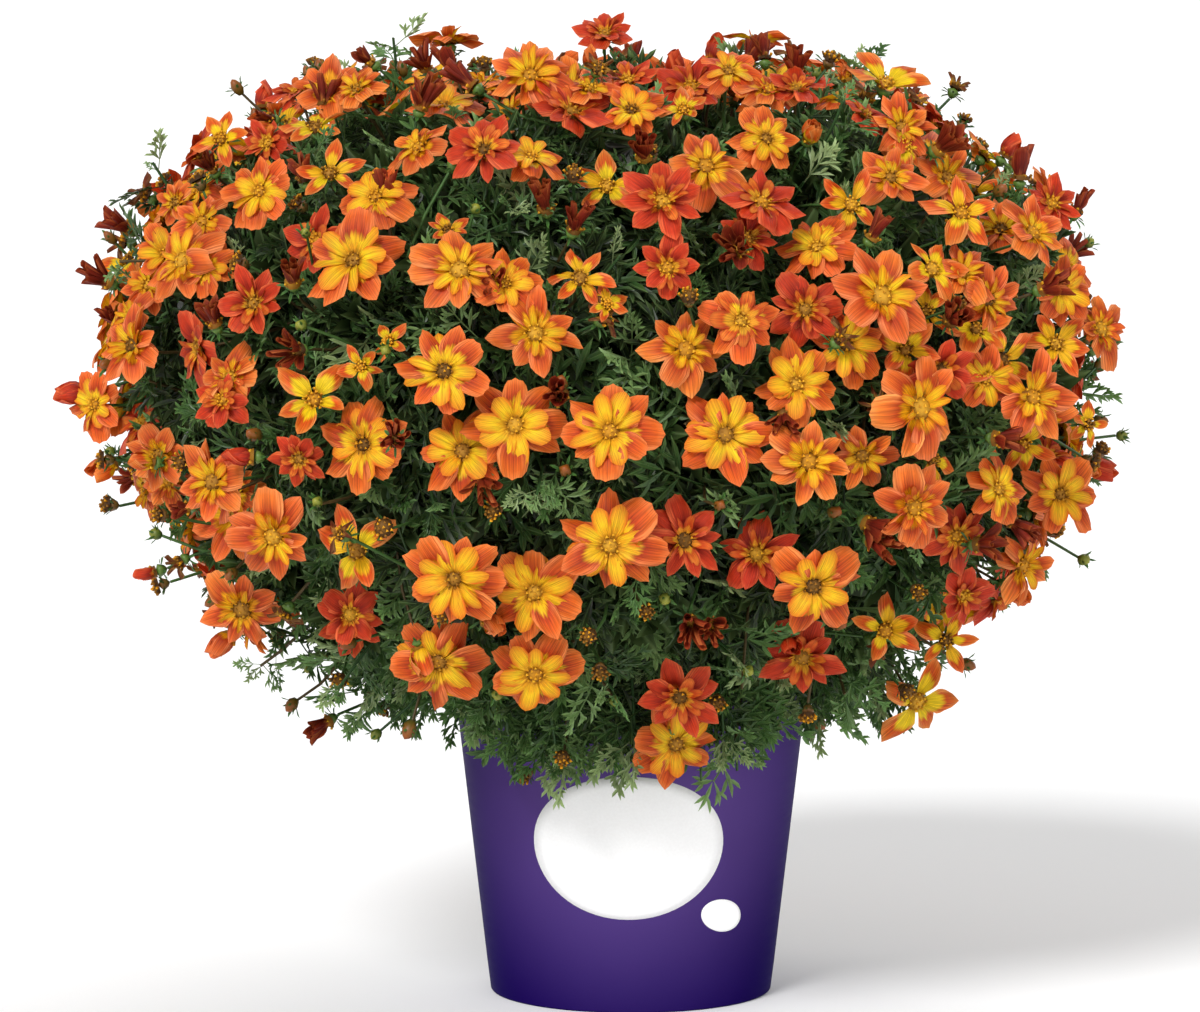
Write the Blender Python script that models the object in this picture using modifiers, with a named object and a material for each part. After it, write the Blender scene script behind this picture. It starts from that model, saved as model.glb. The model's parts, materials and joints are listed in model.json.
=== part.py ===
# A bidens in flower in its tapered plastic pot: pot, soil, rooted cuttings, leaf sprays and flower heads.
# Metres, +Z up. The origin is the centre of the pot's base, on the floor, and the front faces -Y.

import math

import bmesh
import bpy
from mathutils import Matrix, Vector
from mathutils.bvhtree import BVHTree

# Clearance between pieces that touch
GAP = 0.0003
WELD_DISTANCE = 0.00001

# Pot: a thin moulded cone with a thicker band round its rim and a flat, drained base
POT_HEIGHT = 0.134
POT_BASE_RADIUS = 0.0596
POT_TOP_RADIUS = 0.0752
POT_WALL = 0.0015
RIM_BAND_HEIGHT = 0.012
RIM_BAND_PROUD = 0.0018
DRAIN_HOLES = 6
DRAIN_RADIUS = 0.004
DRAIN_RING_RADIUS = 0.043
POT_STEPS = 60

# Soil: filled to a little below the rim, slightly mounded
SOIL_EDGE_HEIGHT = 0.116
SOIL_MOUND = 0.004
MOUND_SHARES = (0.0, 0.35, 0.7)
SOIL_STEPS = 30

# Rooted cuttings: each a woody stock, set in a pocket of the soil, that branches to the leaf sprays
STOCK_RADIUS = 0.0034
STOCK_DEPTH = 0.014
STOCK_RISE = 0.016
STOCK_TAPER = 0.85
STOCK_SIDES = 10
STOCK_RING_RADIUS = 0.024
CUTTING_AZIMUTHS = {"back": math.radians(90), "left": math.radians(205), "right": math.radians(335)}
LIMB_BASE_RADIUS = 0.0016
LIMB_TIP_RADIUS = 0.0009
LIMB_POINTS = 9
LIMB_RISE = 0.055
LIMB_LEAN = 0.3
LIMB_LANDING = 0.022
LIMB_SWEEP = 0.066
POCKET_SIDES = 14

# Head: a full dome above, drawn in like a bowl below, centred a little left of the pot
HEAD_CENTRE = Vector((-0.012, 0.0, 0.250))
HEAD_RADIUS = 0.220
HEAD_RISE = 0.158
HEAD_DROP = 0.165
HEAD_UPPER_POWER = 2.4
HEAD_LOWER_POWER = 1.7
LOBE_DEPTH = 0.012
LOBES = ((3, 0.6), (5, -1.1))
NORMAL_STEP = 0.02
HEAD_SEGMENTS = 26
HEAD_RINGS = 16

# Leaf sprays: the outer layer of the head, under the flowers
LEAF_TOP_BELOW_FLOWERS = 0.015
LEAF_LAYER = 0.030
SPRAY_GAP = 0.0006
POT_CLEARANCE = 0.003
RINGS_OF_SPRAYS = {
    "upper": {"count": 5, "elevation": 38, "turn": 18},
    "side": {"count": 6, "elevation": 5, "turn": 0},
    "skirt": {"count": 5, "elevation": -42, "turn": 54},
}

# Flowers: a shallow eight-pointed cup on a thin stalk
FLOWER_POINTS = 8
FLOWER_NOTCH = 0.80
FLOWER_CUP = 0.0030
DISC_HEIGHT = 0.0009
PETAL_EDGE = 0.0009
CALYX_DEPTH = 0.0050
STALK_RADIUS = 0.0009
STALK_END_GAP = 0.0006
FLOWER_LIFT = 0.3

# The view that the front flowers' places are given in: pixels of a 1200 x 1012 frame
VIEW_CENTRE = Vector((-0.0131, 0.0, 0.206))
VIEW_CENTRE_PIXEL = (600, 506)
VIEW_DISTANCE = 2.3
VIEW_ELEVATION = math.radians(5.5)
METRES_PER_PIXEL = 0.0004225
SEARCH_FROM = VIEW_DISTANCE - 1.3 * HEAD_RADIUS
SEARCH_LENGTH = 2.6 * HEAD_RADIUS
SEARCH_STEP = 0.001

# Across, down and diameter, all in pixels of that view
FRONT_FLOWERS = (
    (605, 38, 56),
    (1098, 330, 70),
    (98, 405, 60),
    (530, 78, 84),
    (330, 95, 78),
    (885, 86, 84),
    (485, 152, 72),
    (662, 203, 76),
    (262, 193, 70),
    (960, 215, 74),
    (355, 262, 92),
    (460, 272, 92),
    (185, 262, 84),
    (880, 297, 96),
    (740, 322, 72),
    (445, 372, 90),
    (135, 347, 80),
    (315, 400, 78),
    (918, 408, 94),
    (1030, 398, 80),
    (610, 432, 88),
    (808, 462, 84),
    (215, 482, 78),
    (912, 507, 82),
    (275, 535, 88),
    (610, 545, 92),
    (455, 578, 88),
    (812, 585, 86),
    (535, 672, 86),
    (675, 742, 84),
    (915, 700, 74),
)
BACK_FLOWER_DIAMETER = 0.036
BACK_FLOWER_ROWS = ((58, 2), (22, 3), (-16, 2))

COLOURS = {
    "pot": ((0.055, 0.021, 0.160), 0.32),
    "soil": ((0.030, 0.019, 0.012), 0.95),
    "stem": ((0.105, 0.150, 0.040), 0.60),
    "leaf": ((0.045, 0.110, 0.028), 0.60),
    "petal": ((0.800, 0.120, 0.018), 0.55),
}


def clear_scene():
    for thing in list(bpy.data.objects):
        bpy.data.objects.remove(thing, do_unlink=True)


def new_collection(name):
    collection = bpy.data.collections.new(name)
    bpy.context.scene.collection.children.link(collection)
    return collection


def new_material(name):
    colour, roughness = COLOURS[name]
    material = bpy.data.materials.new(name)
    material.use_nodes = True
    shader = material.node_tree.nodes["Principled BSDF"]
    shader.inputs["Base Color"].default_value = (*colour, 1.0)
    shader.inputs["Roughness"].default_value = roughness
    shader.inputs["Metallic"].default_value = 0.0
    return material


def new_object(name, mesh, collection, material=None):
    made = bpy.data.objects.new(name, mesh)
    collection.objects.link(made)
    if material:
        mesh.materials.append(material)
        mesh.shade_smooth()
        mesh.set_sharp_from_angle(angle=math.radians(40))
    return made


def new_helper(name, mesh):
    helper = new_object(name, mesh, helpers)
    helper.hide_render = True
    helper.display_type = "WIRE"
    return helper


def mesh_from(bm, name):
    mesh = bpy.data.meshes.new(name)
    bm.to_mesh(mesh)
    bm.free()
    return mesh


def cut(target, cutter, operation="DIFFERENCE"):
    boolean = target.modifiers.new(cutter.name, "BOOLEAN")
    boolean.object = cutter
    boolean.operation = operation
    boolean.solver = "EXACT"


def evaluated_mesh(thing):
    bpy.context.view_layer.update()
    graph = bpy.context.evaluated_depsgraph_get()
    return bpy.data.meshes.new_from_object(thing.evaluated_get(graph))


def turned_piece(name, profile, steps, collection, material):
    # profile runs down the outer side, as (radius, height) points
    mesh = bpy.data.meshes.new(name)
    edges = [(i, i + 1) for i in range(len(profile) - 1)]
    mesh.from_pydata([(radius, 0.0, height) for radius, height in profile], edges, [])
    piece = new_object(name, mesh, collection, material)
    screw = piece.modifiers.new("Turn", "SCREW")
    screw.steps = steps
    screw.render_steps = steps
    screw.use_merge_vertices = True
    screw.merge_threshold = 10 * WELD_DISTANCE
    screw.use_smooth_shade = True
    return piece


def upright_cylinders(name, places, radius, low, high, sides):
    bm = bmesh.new()
    for x, y in places:
        middle = Matrix.Translation((x, y, (low + high) / 2))
        bmesh.ops.create_cone(
            bm, cap_ends=True, segments=sides, radius1=radius, radius2=radius, depth=high - low, matrix=middle
        )
    return new_helper(name, mesh_from(bm, name))


def around(radius, azimuth):
    return radius * math.cos(azimuth), radius * math.sin(azimuth)


# Pot and soil


def pot_side_radius(height):
    return POT_BASE_RADIUS + (POT_TOP_RADIUS - POT_BASE_RADIUS) * height / POT_HEIGHT


def make_pot():
    band_low = POT_HEIGHT - RIM_BAND_HEIGHT
    profile = [
        (0.0, POT_WALL),
        (pot_side_radius(POT_WALL) - POT_WALL, POT_WALL),
        (POT_TOP_RADIUS - POT_WALL, POT_HEIGHT),
        (POT_TOP_RADIUS + RIM_BAND_PROUD, POT_HEIGHT),
        (pot_side_radius(band_low) + RIM_BAND_PROUD, band_low),
        (pot_side_radius(band_low), band_low),
        (POT_BASE_RADIUS, 0.0),
        (0.0, 0.0),
    ]
    pot = turned_piece("pot", profile, POT_STEPS, parts, new_material("pot"))
    turns = [2 * math.pi * (i + 0.5) / DRAIN_HOLES for i in range(DRAIN_HOLES)]
    places = [around(DRAIN_RING_RADIUS, turn) for turn in turns]
    cut(pot, upright_cylinders("drain_holes", places, DRAIN_RADIUS, -POT_WALL, 2 * POT_WALL, 12))


def stock_places():
    return {side: around(STOCK_RING_RADIUS, azimuth) for side, azimuth in CUTTING_AZIMUTHS.items()}


def soil_height(radius):
    edge = pot_side_radius(SOIL_EDGE_HEIGHT) - POT_WALL - GAP
    return SOIL_EDGE_HEIGHT + SOIL_MOUND * (1 - (radius / edge) ** 2)


def make_soil():
    top_edge = pot_side_radius(SOIL_EDGE_HEIGHT) - POT_WALL - GAP
    floor = POT_WALL + GAP
    mound = [(top_edge * share, soil_height(top_edge * share)) for share in MOUND_SHARES]
    profile = mound + [
        (top_edge, SOIL_EDGE_HEIGHT),
        (pot_side_radius(floor) - POT_WALL - GAP, floor),
        (0.0, floor),
    ]
    soil = turned_piece("potting_soil", profile, SOIL_STEPS, parts, new_material("soil"))
    surface = soil_height(STOCK_RING_RADIUS)
    pockets = upright_cylinders(
        "stock_pockets",
        stock_places().values(),
        STOCK_RADIUS + GAP,
        surface - STOCK_DEPTH - GAP,
        surface + SOIL_MOUND,
        POCKET_SIDES,
    )
    cut(soil, pockets)


# Head


def head_reach(direction):
    # distance from HEAD_CENTRE to the flowers' surface along a unit direction
    flat = math.hypot(direction.x, direction.y)
    depth, power = (HEAD_RISE, HEAD_UPPER_POWER) if direction.z > 0 else (HEAD_DROP, HEAD_LOWER_POWER)
    share = (flat / HEAD_RADIUS) ** power + (abs(direction.z) / depth) ** power
    azimuth = math.atan2(direction.y, direction.x)
    waves = sum(math.sin(count * azimuth + phase) for count, phase in LOBES)
    lobes = 1 + LOBE_DEPTH * flat * waves
    return lobes * share ** (-1 / power)


def direction_of(azimuth, elevation):
    level = math.cos(elevation)
    return Vector((level * math.cos(azimuth), level * math.sin(azimuth), math.sin(elevation)))


def head_point(direction, below=0.0):
    return HEAD_CENTRE + direction * (head_reach(direction) - below)


def head_normal(direction):
    # outward normal of the flowers' surface, from three nearby points
    side = direction.orthogonal().normalized() * NORMAL_STEP
    other = direction.cross(side)
    here = head_point(direction)
    along = head_point((direction + side).normalized()) - here
    across = head_point((direction + other).normalized()) - here
    return along.cross(across).normalized()


def head_solid(name, below):
    bm = bmesh.new()
    bmesh.ops.create_uvsphere(bm, u_segments=HEAD_SEGMENTS, v_segments=HEAD_RINGS, radius=1.0)
    for vertex in bm.verts:
        vertex.co = head_point(vertex.co.normalized(), below)
    return new_helper(name, mesh_from(bm, name))


def spray_directions():
    found = {"leaves_crown": Vector((0.0, 0.0, 1.0))}
    for ring, plan in RINGS_OF_SPRAYS.items():
        for i in range(plan["count"]):
            azimuth = math.radians(plan["turn"] + 360 * i / plan["count"])
            found[f"leaves_{ring}_{i + 1}"] = direction_of(azimuth, math.radians(plan["elevation"]))
    return found


def spray_cell(name, middle, others):
    # the space that is nearer to this spray's middle than to any other's
    bm = bmesh.new()
    bmesh.ops.create_cube(bm, size=6 * HEAD_RADIUS)
    for other in others:
        towards = (other - middle).normalized()
        halfway = (middle + other) / 2 - towards * SPRAY_GAP / 2
        whole = bm.verts[:] + bm.edges[:] + bm.faces[:]
        sliced = bmesh.ops.bisect_plane(
            bm, geom=whole, plane_co=halfway, plane_no=towards, clear_outer=True
        )
        rim = [piece for piece in sliced["geom_cut"] if isinstance(piece, bmesh.types.BMEdge)]
        if rim:
            bmesh.ops.edgeloop_fill(bm, edges=rim)
    bmesh.ops.recalc_face_normals(bm, faces=bm.faces[:])
    return new_helper(name, mesh_from(bm, name))


def make_sprays():
    shell = head_solid("leaf_layer", LEAF_TOP_BELOW_FLOWERS)
    cut(shell, head_solid("inner_space", LEAF_TOP_BELOW_FLOWERS + LEAF_LAYER))
    room = upright_cylinders(
        "room_for_pot",
        [(0.0, 0.0)],
        POT_TOP_RADIUS + RIM_BAND_PROUD + POT_CLEARANCE,
        0.0,
        HEAD_CENTRE.z,
        32,
    )
    cut(shell, room)
    layer = evaluated_mesh(shell)
    material = new_material("leaf")
    directions = spray_directions()
    depth = LEAF_TOP_BELOW_FLOWERS + LEAF_LAYER / 2
    middles = {name: head_point(direction, depth) for name, direction in directions.items()}
    sprays = {}
    for name, middle in middles.items():
        others = [place for key, place in middles.items() if key != name]
        spray = new_object(name, layer.copy(), parts, material)
        cut(spray, spray_cell(f"cell_{name}", middle, others), "INTERSECT")
        sprays[name] = spray
    return sprays, directions


# Stems


def bezier_points(start, first, second, end, count):
    points = []
    for i in range(count):
        t = i / (count - 1)
        u = 1 - t
        points.append(u**3 * start + 3 * u * u * t * first + 3 * u * t * t * second + t**3 * end)
    return points


def make_limb(name, points):
    curve = bpy.data.curves.new(name, "CURVE")
    curve.dimensions = "3D"
    curve.bevel_depth = 1.0
    curve.bevel_resolution = 1
    curve.use_fill_caps = True
    spline = curve.splines.new("POLY")
    spline.points.add(len(points) - 1)
    for i, place in enumerate(points):
        share = i / (len(points) - 1)
        spline.points[i].co = (*place, 1.0)
        spline.points[i].radius = LIMB_BASE_RADIUS + (LIMB_TIP_RADIUS - LIMB_BASE_RADIUS) * share
    drawn = bpy.data.objects.new(name, curve)
    helpers.objects.link(drawn)
    bm = bmesh.new()
    bm.from_mesh(evaluated_mesh(drawn))
    bpy.data.objects.remove(drawn)
    bmesh.ops.remove_doubles(bm, verts=bm.verts[:], dist=WELD_DISTANCE)
    bmesh.ops.recalc_face_normals(bm, faces=bm.faces[:])
    return new_helper(name, mesh_from(bm, name))


def underside_of(spray, direction):
    # where a ray from the middle of the head meets the spray, and its inward normal there
    mesh = evaluated_mesh(spray)
    tree = BVHTree.FromPolygons([v.co for v in mesh.vertices], [p.vertices for p in mesh.polygons])
    place, normal, _, _ = tree.ray_cast(HEAD_CENTRE, direction)
    return place, -normal if normal.dot(direction) > 0 else normal


def nearest_cutting(direction):
    # the crown, straight above, falls to the first cutting in the list
    level = Vector((direction.x, direction.y))
    return max(CUTTING_AZIMUTHS, key=lambda side: level.dot(around(1.0, CUTTING_AZIMUTHS[side])))


def make_stems(sprays, directions):
    material = new_material("stem")
    surface = soil_height(STOCK_RING_RADIUS)
    for side, (x, y) in stock_places().items():
        low, high = surface - STOCK_DEPTH, surface + STOCK_RISE
        bm = bmesh.new()
        bmesh.ops.create_cone(
            bm,
            cap_ends=True,
            segments=STOCK_SIDES,
            radius1=STOCK_RADIUS,
            radius2=STOCK_RADIUS * STOCK_TAPER,
            depth=high - low,
            matrix=Matrix.Translation((x, y, (low + high) / 2)),
        )
        stock = new_object(f"stems_{side}", mesh_from(bm, f"stems_{side}"), parts, material)
        for name, spray in sprays.items():
            direction = directions[name]
            if nearest_cutting(direction) != side:
                continue
            landing, inward = underside_of(spray, direction)
            outward = Vector((direction.x, direction.y, 0.0))
            start = Vector((x, y, high - STOCK_RADIUS)) + outward * STOCK_RADIUS * LIMB_LEAN
            rise = start + (Vector((0.0, 0.0, 1.0)) + outward * LIMB_LEAN) * LIMB_RISE
            sweep, last = landing + inward * LIMB_SWEEP, landing + inward * LIMB_LANDING
            points = bezier_points(start, rise, sweep, last, LIMB_POINTS)
            points.append(landing + inward * GAP)
            cut(stock, make_limb(f"limb_to_{name}", points), "UNION")


# Flowers


def sight_line(across, down):
    # the eye's place and the unit direction through a pixel of the view
    ahead = Vector((0.0, math.cos(VIEW_ELEVATION), -math.sin(VIEW_ELEVATION)))
    up = Vector((0.0, math.sin(VIEW_ELEVATION), math.cos(VIEW_ELEVATION)))
    right = Vector((1.0, 0.0, 0.0))
    eye = VIEW_CENTRE - ahead * VIEW_DISTANCE
    sideways = (across - VIEW_CENTRE_PIXEL[0]) * METRES_PER_PIXEL
    upwards = (VIEW_CENTRE_PIXEL[1] - down) * METRES_PER_PIXEL
    return eye, (ahead * VIEW_DISTANCE + right * sideways + up * upwards).normalized()


def seen_on_head(across, down):
    # the first place on the flowers' surface along the sight line, or else the place that comes nearest to it
    eye, look = sight_line(across, down)
    nearest = None
    for i in range(round(SEARCH_LENGTH / SEARCH_STEP)):
        place = eye + look * (SEARCH_FROM + i * SEARCH_STEP)
        offset = place - HEAD_CENTRE
        outside = offset.length - head_reach(offset.normalized())
        if nearest is None or outside < nearest[0]:
            nearest = (outside, offset.normalized(), (place - eye).length)
        if outside <= 0:
            break
    return nearest[1], nearest[2]


def make_flower(name, direction, diameter, leaves, material):
    radius = diameter / 2
    facing = (head_normal(direction) + Vector((0.0, 0.0, FLOWER_LIFT))).normalized()
    middle = head_point(direction)
    turn = facing.to_track_quat("Z", "Y").to_matrix().to_4x4()
    steps = 2 * FLOWER_POINTS
    stalk_foot = leaf_distance(leaves, middle, facing)
    profile = [
        (0.0, DISC_HEIGHT),
        (radius, FLOWER_CUP),
        (radius, FLOWER_CUP - PETAL_EDGE),
        (STALK_RADIUS, -CALYX_DEPTH),
        (STALK_RADIUS, -stalk_foot),
        (0.0, -stalk_foot),
    ]
    bm = bmesh.new()
    rings = [bm.verts.new((r, 0.0, z)) for r, z in profile]
    outline = [bm.edges.new(pair) for pair in zip(rings, rings[1:])]
    whole_turn = {"axis": (0, 0, 1), "cent": (0, 0, 0), "angle": 2 * math.pi, "steps": steps}
    bmesh.ops.spin(bm, geom=rings + outline, use_merge=True, **whole_turn)
    bmesh.ops.remove_doubles(bm, verts=bm.verts[:], dist=WELD_DISTANCE)
    for vertex in bm.verts:
        around_axis = math.atan2(vertex.co.y, vertex.co.x) / (2 * math.pi) * steps
        if round(around_axis) % 2 and vertex.co.xy.length > radius / 2:
            vertex.co.x *= FLOWER_NOTCH
            vertex.co.y *= FLOWER_NOTCH
    bmesh.ops.recalc_face_normals(bm, faces=bm.faces[:])
    bm.transform(Matrix.Translation(middle) @ turn)
    new_object(name, mesh_from(bm, name), parts, material)


def leaf_distance(leaves, middle, facing):
    # how far the stalk runs down before it meets the leaves
    side = facing.orthogonal().normalized() * STALK_RADIUS
    other = facing.cross(side)
    starts = [middle, middle + side, middle - side, middle + other, middle - other]
    hits = [leaves.ray_cast(start, -facing) for start in starts]
    return min(hit[3] for hit in hits if hit[0]) - STALK_END_GAP


def leaf_tree(sprays):
    points, faces = [], []
    for spray in sprays.values():
        mesh = evaluated_mesh(spray)
        first = len(points)
        points += [vertex.co.copy() for vertex in mesh.vertices]
        faces += [[first + index for index in polygon.vertices] for polygon in mesh.polygons]
    return BVHTree.FromPolygons(points, faces)


def make_flowers(sprays):
    leaves = leaf_tree(sprays)
    material = new_material("petal")
    for i, (across, down, pixels) in enumerate(FRONT_FLOWERS):
        direction, distance = seen_on_head(across, down)
        diameter = pixels * METRES_PER_PIXEL * distance / VIEW_DISTANCE
        make_flower(f"flower_front_{i + 1:02d}", direction, diameter, leaves, material)
    number = 0
    for elevation, count in BACK_FLOWER_ROWS:
        for i in range(count):
            number += 1
            azimuth = math.pi * (i + 0.5) / count
            direction = direction_of(azimuth, math.radians(elevation))
            make_flower(f"flower_back_{number:02d}", direction, BACK_FLOWER_DIAMETER, leaves, material)


clear_scene()
parts = new_collection("potted_bidens")
helpers = new_collection("cutters_and_guides")
make_pot()
make_soil()
leaf_sprays, leaf_directions = make_sprays()
make_stems(leaf_sprays, leaf_directions)
make_flowers(leaf_sprays)
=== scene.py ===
import json
import math
import random
from functools import partial

import bpy
from mathutils import Matrix, Vector, noise
from mathutils.kdtree import KDTree

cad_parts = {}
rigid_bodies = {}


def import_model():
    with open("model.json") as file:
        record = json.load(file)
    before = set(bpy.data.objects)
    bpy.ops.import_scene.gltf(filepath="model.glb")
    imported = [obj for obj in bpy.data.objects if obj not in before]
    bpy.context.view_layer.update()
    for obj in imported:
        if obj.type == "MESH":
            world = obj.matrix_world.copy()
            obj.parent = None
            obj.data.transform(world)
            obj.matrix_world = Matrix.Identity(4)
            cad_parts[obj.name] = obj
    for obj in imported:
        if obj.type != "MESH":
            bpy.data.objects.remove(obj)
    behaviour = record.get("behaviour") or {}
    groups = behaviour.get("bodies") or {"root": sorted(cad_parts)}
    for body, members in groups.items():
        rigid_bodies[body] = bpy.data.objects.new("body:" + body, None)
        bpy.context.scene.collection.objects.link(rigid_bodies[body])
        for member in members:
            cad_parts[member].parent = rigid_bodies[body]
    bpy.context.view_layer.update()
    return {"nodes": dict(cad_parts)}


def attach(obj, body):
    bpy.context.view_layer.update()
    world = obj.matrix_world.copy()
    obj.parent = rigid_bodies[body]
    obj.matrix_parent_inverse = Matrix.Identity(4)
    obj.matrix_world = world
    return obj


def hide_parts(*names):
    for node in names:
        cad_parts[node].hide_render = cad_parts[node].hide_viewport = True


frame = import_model()
print("frame loaded:", len(frame["nodes"]), "nodes")

millimetre = 0.001
up = Vector((0.0, 0.0, 1.0))


# Small tools

def linear(hexColour, alpha=1.0):
    # an sRGB hex value as linear light, which is what every node socket takes
    def channel(value):
        return value / 12.92 if value <= 0.04045 else ((value + 0.055) / 1.055) ** 2.4
    parts = [int(hexColour[i:i + 2], 16) / 255 for i in (1, 3, 5)]
    return (*(channel(part) for part in parts), alpha)


def addNode(tree, kind, settings=None, inputs=None):
    # one node with its settings, or only its operation, and its inputs: a value, a socket, or a node, whose
    # first output is taken
    node = tree.nodes.new(kind)
    if isinstance(settings, str):
        settings = {"operation": settings}
    for name, value in (settings or {}).items():
        if name == "stops":
            ramp = node.color_ramp.elements
            while len(ramp) < len(value):
                ramp.new(0.5)
            for element, (place, colour) in zip(ramp, value):
                element.position, element.color = place, linear(colour)
        else:
            setattr(node, name, value)
    for name, value in (inputs or {}).items():
        sockets = [node.inputs[name]] if isinstance(name, int) else [
            socket for socket in node.inputs if socket.name == name and socket.enabled]
        if isinstance(value, bpy.types.Node):
            value = next(output for output in value.outputs if output.enabled)
        if isinstance(value, bpy.types.NodeSocket):
            tree.links.new(value, sockets[0])
        else:
            sockets[0].default_value = value
    return node


def newMaterial(name):
    # a material, and the function that adds a node to it
    material = bpy.data.materials.new(name)
    material.use_nodes = True
    material.node_tree.nodes.clear()
    return material, partial(addNode, material.node_tree)


def newObject(name, data):
    thing = bpy.data.objects.new(name, data)
    bpy.context.scene.collection.objects.link(thing)
    return thing


def meshFrom(name, points, faces, maps=None, smooth=True):
    # maps: {name of the UV map: one (u, v) for each face corner, in order}
    mesh = bpy.data.meshes.new(name)
    mesh.from_pydata([tuple(point) for point in points], [], faces)
    for mapName, corners in (maps or {}).items():
        layer = mesh.uv_layers.new(name=mapName)
        layer.data.foreach_set("uv", [value for corner in corners for value in corner])
    mesh.polygons.foreach_set("use_smooth", [smooth] * len(mesh.polygons))
    mesh.update()
    return mesh


def modifierWith(thing, tree, values):
    # inputs are set by the socket's identifier, before the object is first evaluated
    modifier = thing.modifiers.new(tree.name, "NODES")
    modifier.node_group = tree
    sockets = {item.name: item.identifier for item in tree.interface.items_tree
               if item.item_type == "SOCKET" and item.in_out == "INPUT"}
    for name, value in values.items():
        modifier[sockets[name]] = value


def bakedObject(name, source):
    # the evaluated result as a plain mesh; the source and its modifiers go
    bpy.context.view_layer.update()
    depsgraph = bpy.context.evaluated_depsgraph_get()
    mesh = bpy.data.meshes.new_from_object(source.evaluated_get(depsgraph), depsgraph=depsgraph)
    bpy.data.objects.remove(source)
    return newObject(name, mesh)


def finishPiece(thing, slotName, *nodes):
    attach(thing, "root")
    if nodes:
        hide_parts(*nodes)
    triangles = sum(len(polygon.vertices) - 2 for polygon in thing.data.polygons)
    print("piece", thing.name, triangles, "triangles")


def nodesNamed(start):
    return sorted(name for name in frame["nodes"] if name.startswith(start))


def turnFrom(along, above):
    # the turn that lays +X along one direction and +Z as near as it can to another
    side = above.cross(along).normalized()
    forward = along.normalized()
    return Matrix((forward, side, forward.cross(side))).transposed().to_quaternion()


def turnedAbout(side, other, angle):
    # the direction at that angle from one side towards the other
    return side * math.cos(angle) + other * math.sin(angle)


def anyWay(draw, spread):
    return Vector([draw.uniform(-spread, spread) for _ in range(3)])


def bezier(start, first, second, end, count):
    points = []
    for i in range(count):
        t = i / (count - 1)
        points.append(start * (1 - t) ** 3 + first * 3 * t * (1 - t) ** 2
                      + second * 3 * t ** 2 * (1 - t) + end * t ** 3)
    return points


# The photograph's view: a long lens, a little above the plant

view = {
    "target": Vector((-0.0131, 0.0, 0.206)),
    "targetPixel": (600, 506),
    "distance": 2.3,
    "elevation": math.radians(5.5),
    "metresPerPixel": 0.0004225,  # in the plane through the pot's axis
    "imageWidth": 1200,
    "sensor": 36.0,
    "clip": (0.05, 2000.0),
}

ahead = Vector((0.0, math.cos(view["elevation"]), -math.sin(view["elevation"])))
above = Vector((0.0, math.sin(view["elevation"]), math.cos(view["elevation"])))
eye = view["target"] - ahead * view["distance"]


def makeCamera():
    data = bpy.data.cameras.new("camera")
    camera = newObject("camera", data)
    camera.location = eye
    camera.rotation_euler = (math.pi / 2 - view["elevation"], 0.0, 0.0)
    data.sensor_width = view["sensor"]
    data.lens = view["sensor"] * view["distance"] / (view["imageWidth"] * view["metresPerPixel"])
    data.clip_start, data.clip_end = view["clip"]
    bpy.context.scene.camera = camera


makeCamera()


# The shape of the flower head, the same as the CAD model's

head = {
    "centre": Vector((-0.012, 0.0, 0.250)),
    "radius": 0.220,
    "rise": 0.158,
    "drop": 0.165,
    "upperPower": 2.4,
    "lowerPower": 1.7,
    "lobeDepth": 0.012,
    "lobes": ((3, 0.6), (5, -1.1)),
    "flowerLift": 0.3,  # how far a flower turns up from facing straight out
    "frontLean": 0.7,  # how far the flowers of the photograph turn to its light
    "searchStep": 0.001,  # along a line of sight, from and to this many radii off the centre
    "searchRadii": 1.3,
}


def headReach(direction):
    flat = math.hypot(direction.x, direction.y)
    half = "upper" if direction.z > 0 else "lower"
    depth, power = head["rise" if direction.z > 0 else "drop"], head[half + "Power"]
    share = (flat / head["radius"]) ** power + (abs(direction.z) / depth) ** power
    azimuth = math.atan2(direction.y, direction.x)
    waves = sum(math.sin(count * azimuth + phase) for count, phase in head["lobes"])
    return (1 + head["lobeDepth"] * flat * waves) * share ** (-1 / power)


def headPoint(direction, below=0.0):
    return head["centre"] + direction * (headReach(direction) - below)


def headNormal(direction, step=0.02):
    side = direction.orthogonal().normalized() * step
    other = direction.cross(side)
    here = headPoint(direction)
    along = headPoint((direction + side).normalized()) - here
    across = headPoint((direction + other).normalized()) - here
    return along.cross(across).normalized()


def placeAtPixel(across, down, depth):
    # the place that the photograph shows at a pixel, at a depth in front of the camera
    sideways = (across - view["targetPixel"][0]) * view["metresPerPixel"]
    upwards = (view["targetPixel"][1] - down) * view["metresPerPixel"]
    inTarget = ahead * view["distance"] + Vector((1.0, 0.0, 0.0)) * sideways + above * upwards
    return eye + inTarget * depth / view["distance"]


def pixelOf(place):
    offset = place - eye
    pixels = view["distance"] / (offset.dot(ahead) * view["metresPerPixel"])
    return (view["targetPixel"][0] + (place.x - eye.x) * pixels,
            view["targetPixel"][1] - offset.dot(above) * pixels)


def seenOnHead(across, down):
    # the direction from the head's centre to what the photograph shows there, and its distance from the eye
    look = (placeAtPixel(across, down, view["distance"]) - eye).normalized()
    step = head["searchStep"]
    half = head["searchRadii"] * head["radius"]
    nearest = None
    for i in range(round(2 * half / step)):
        place = eye + look * (view["distance"] - half + i * step)
        offset = place - head["centre"]
        outside = offset.length - headReach(offset.normalized())
        if nearest is None or outside < nearest[0]:
            nearest = (outside, offset.normalized(), (place - eye).length)
        if outside <= 0:
            break
    return nearest[1], nearest[2]


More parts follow.
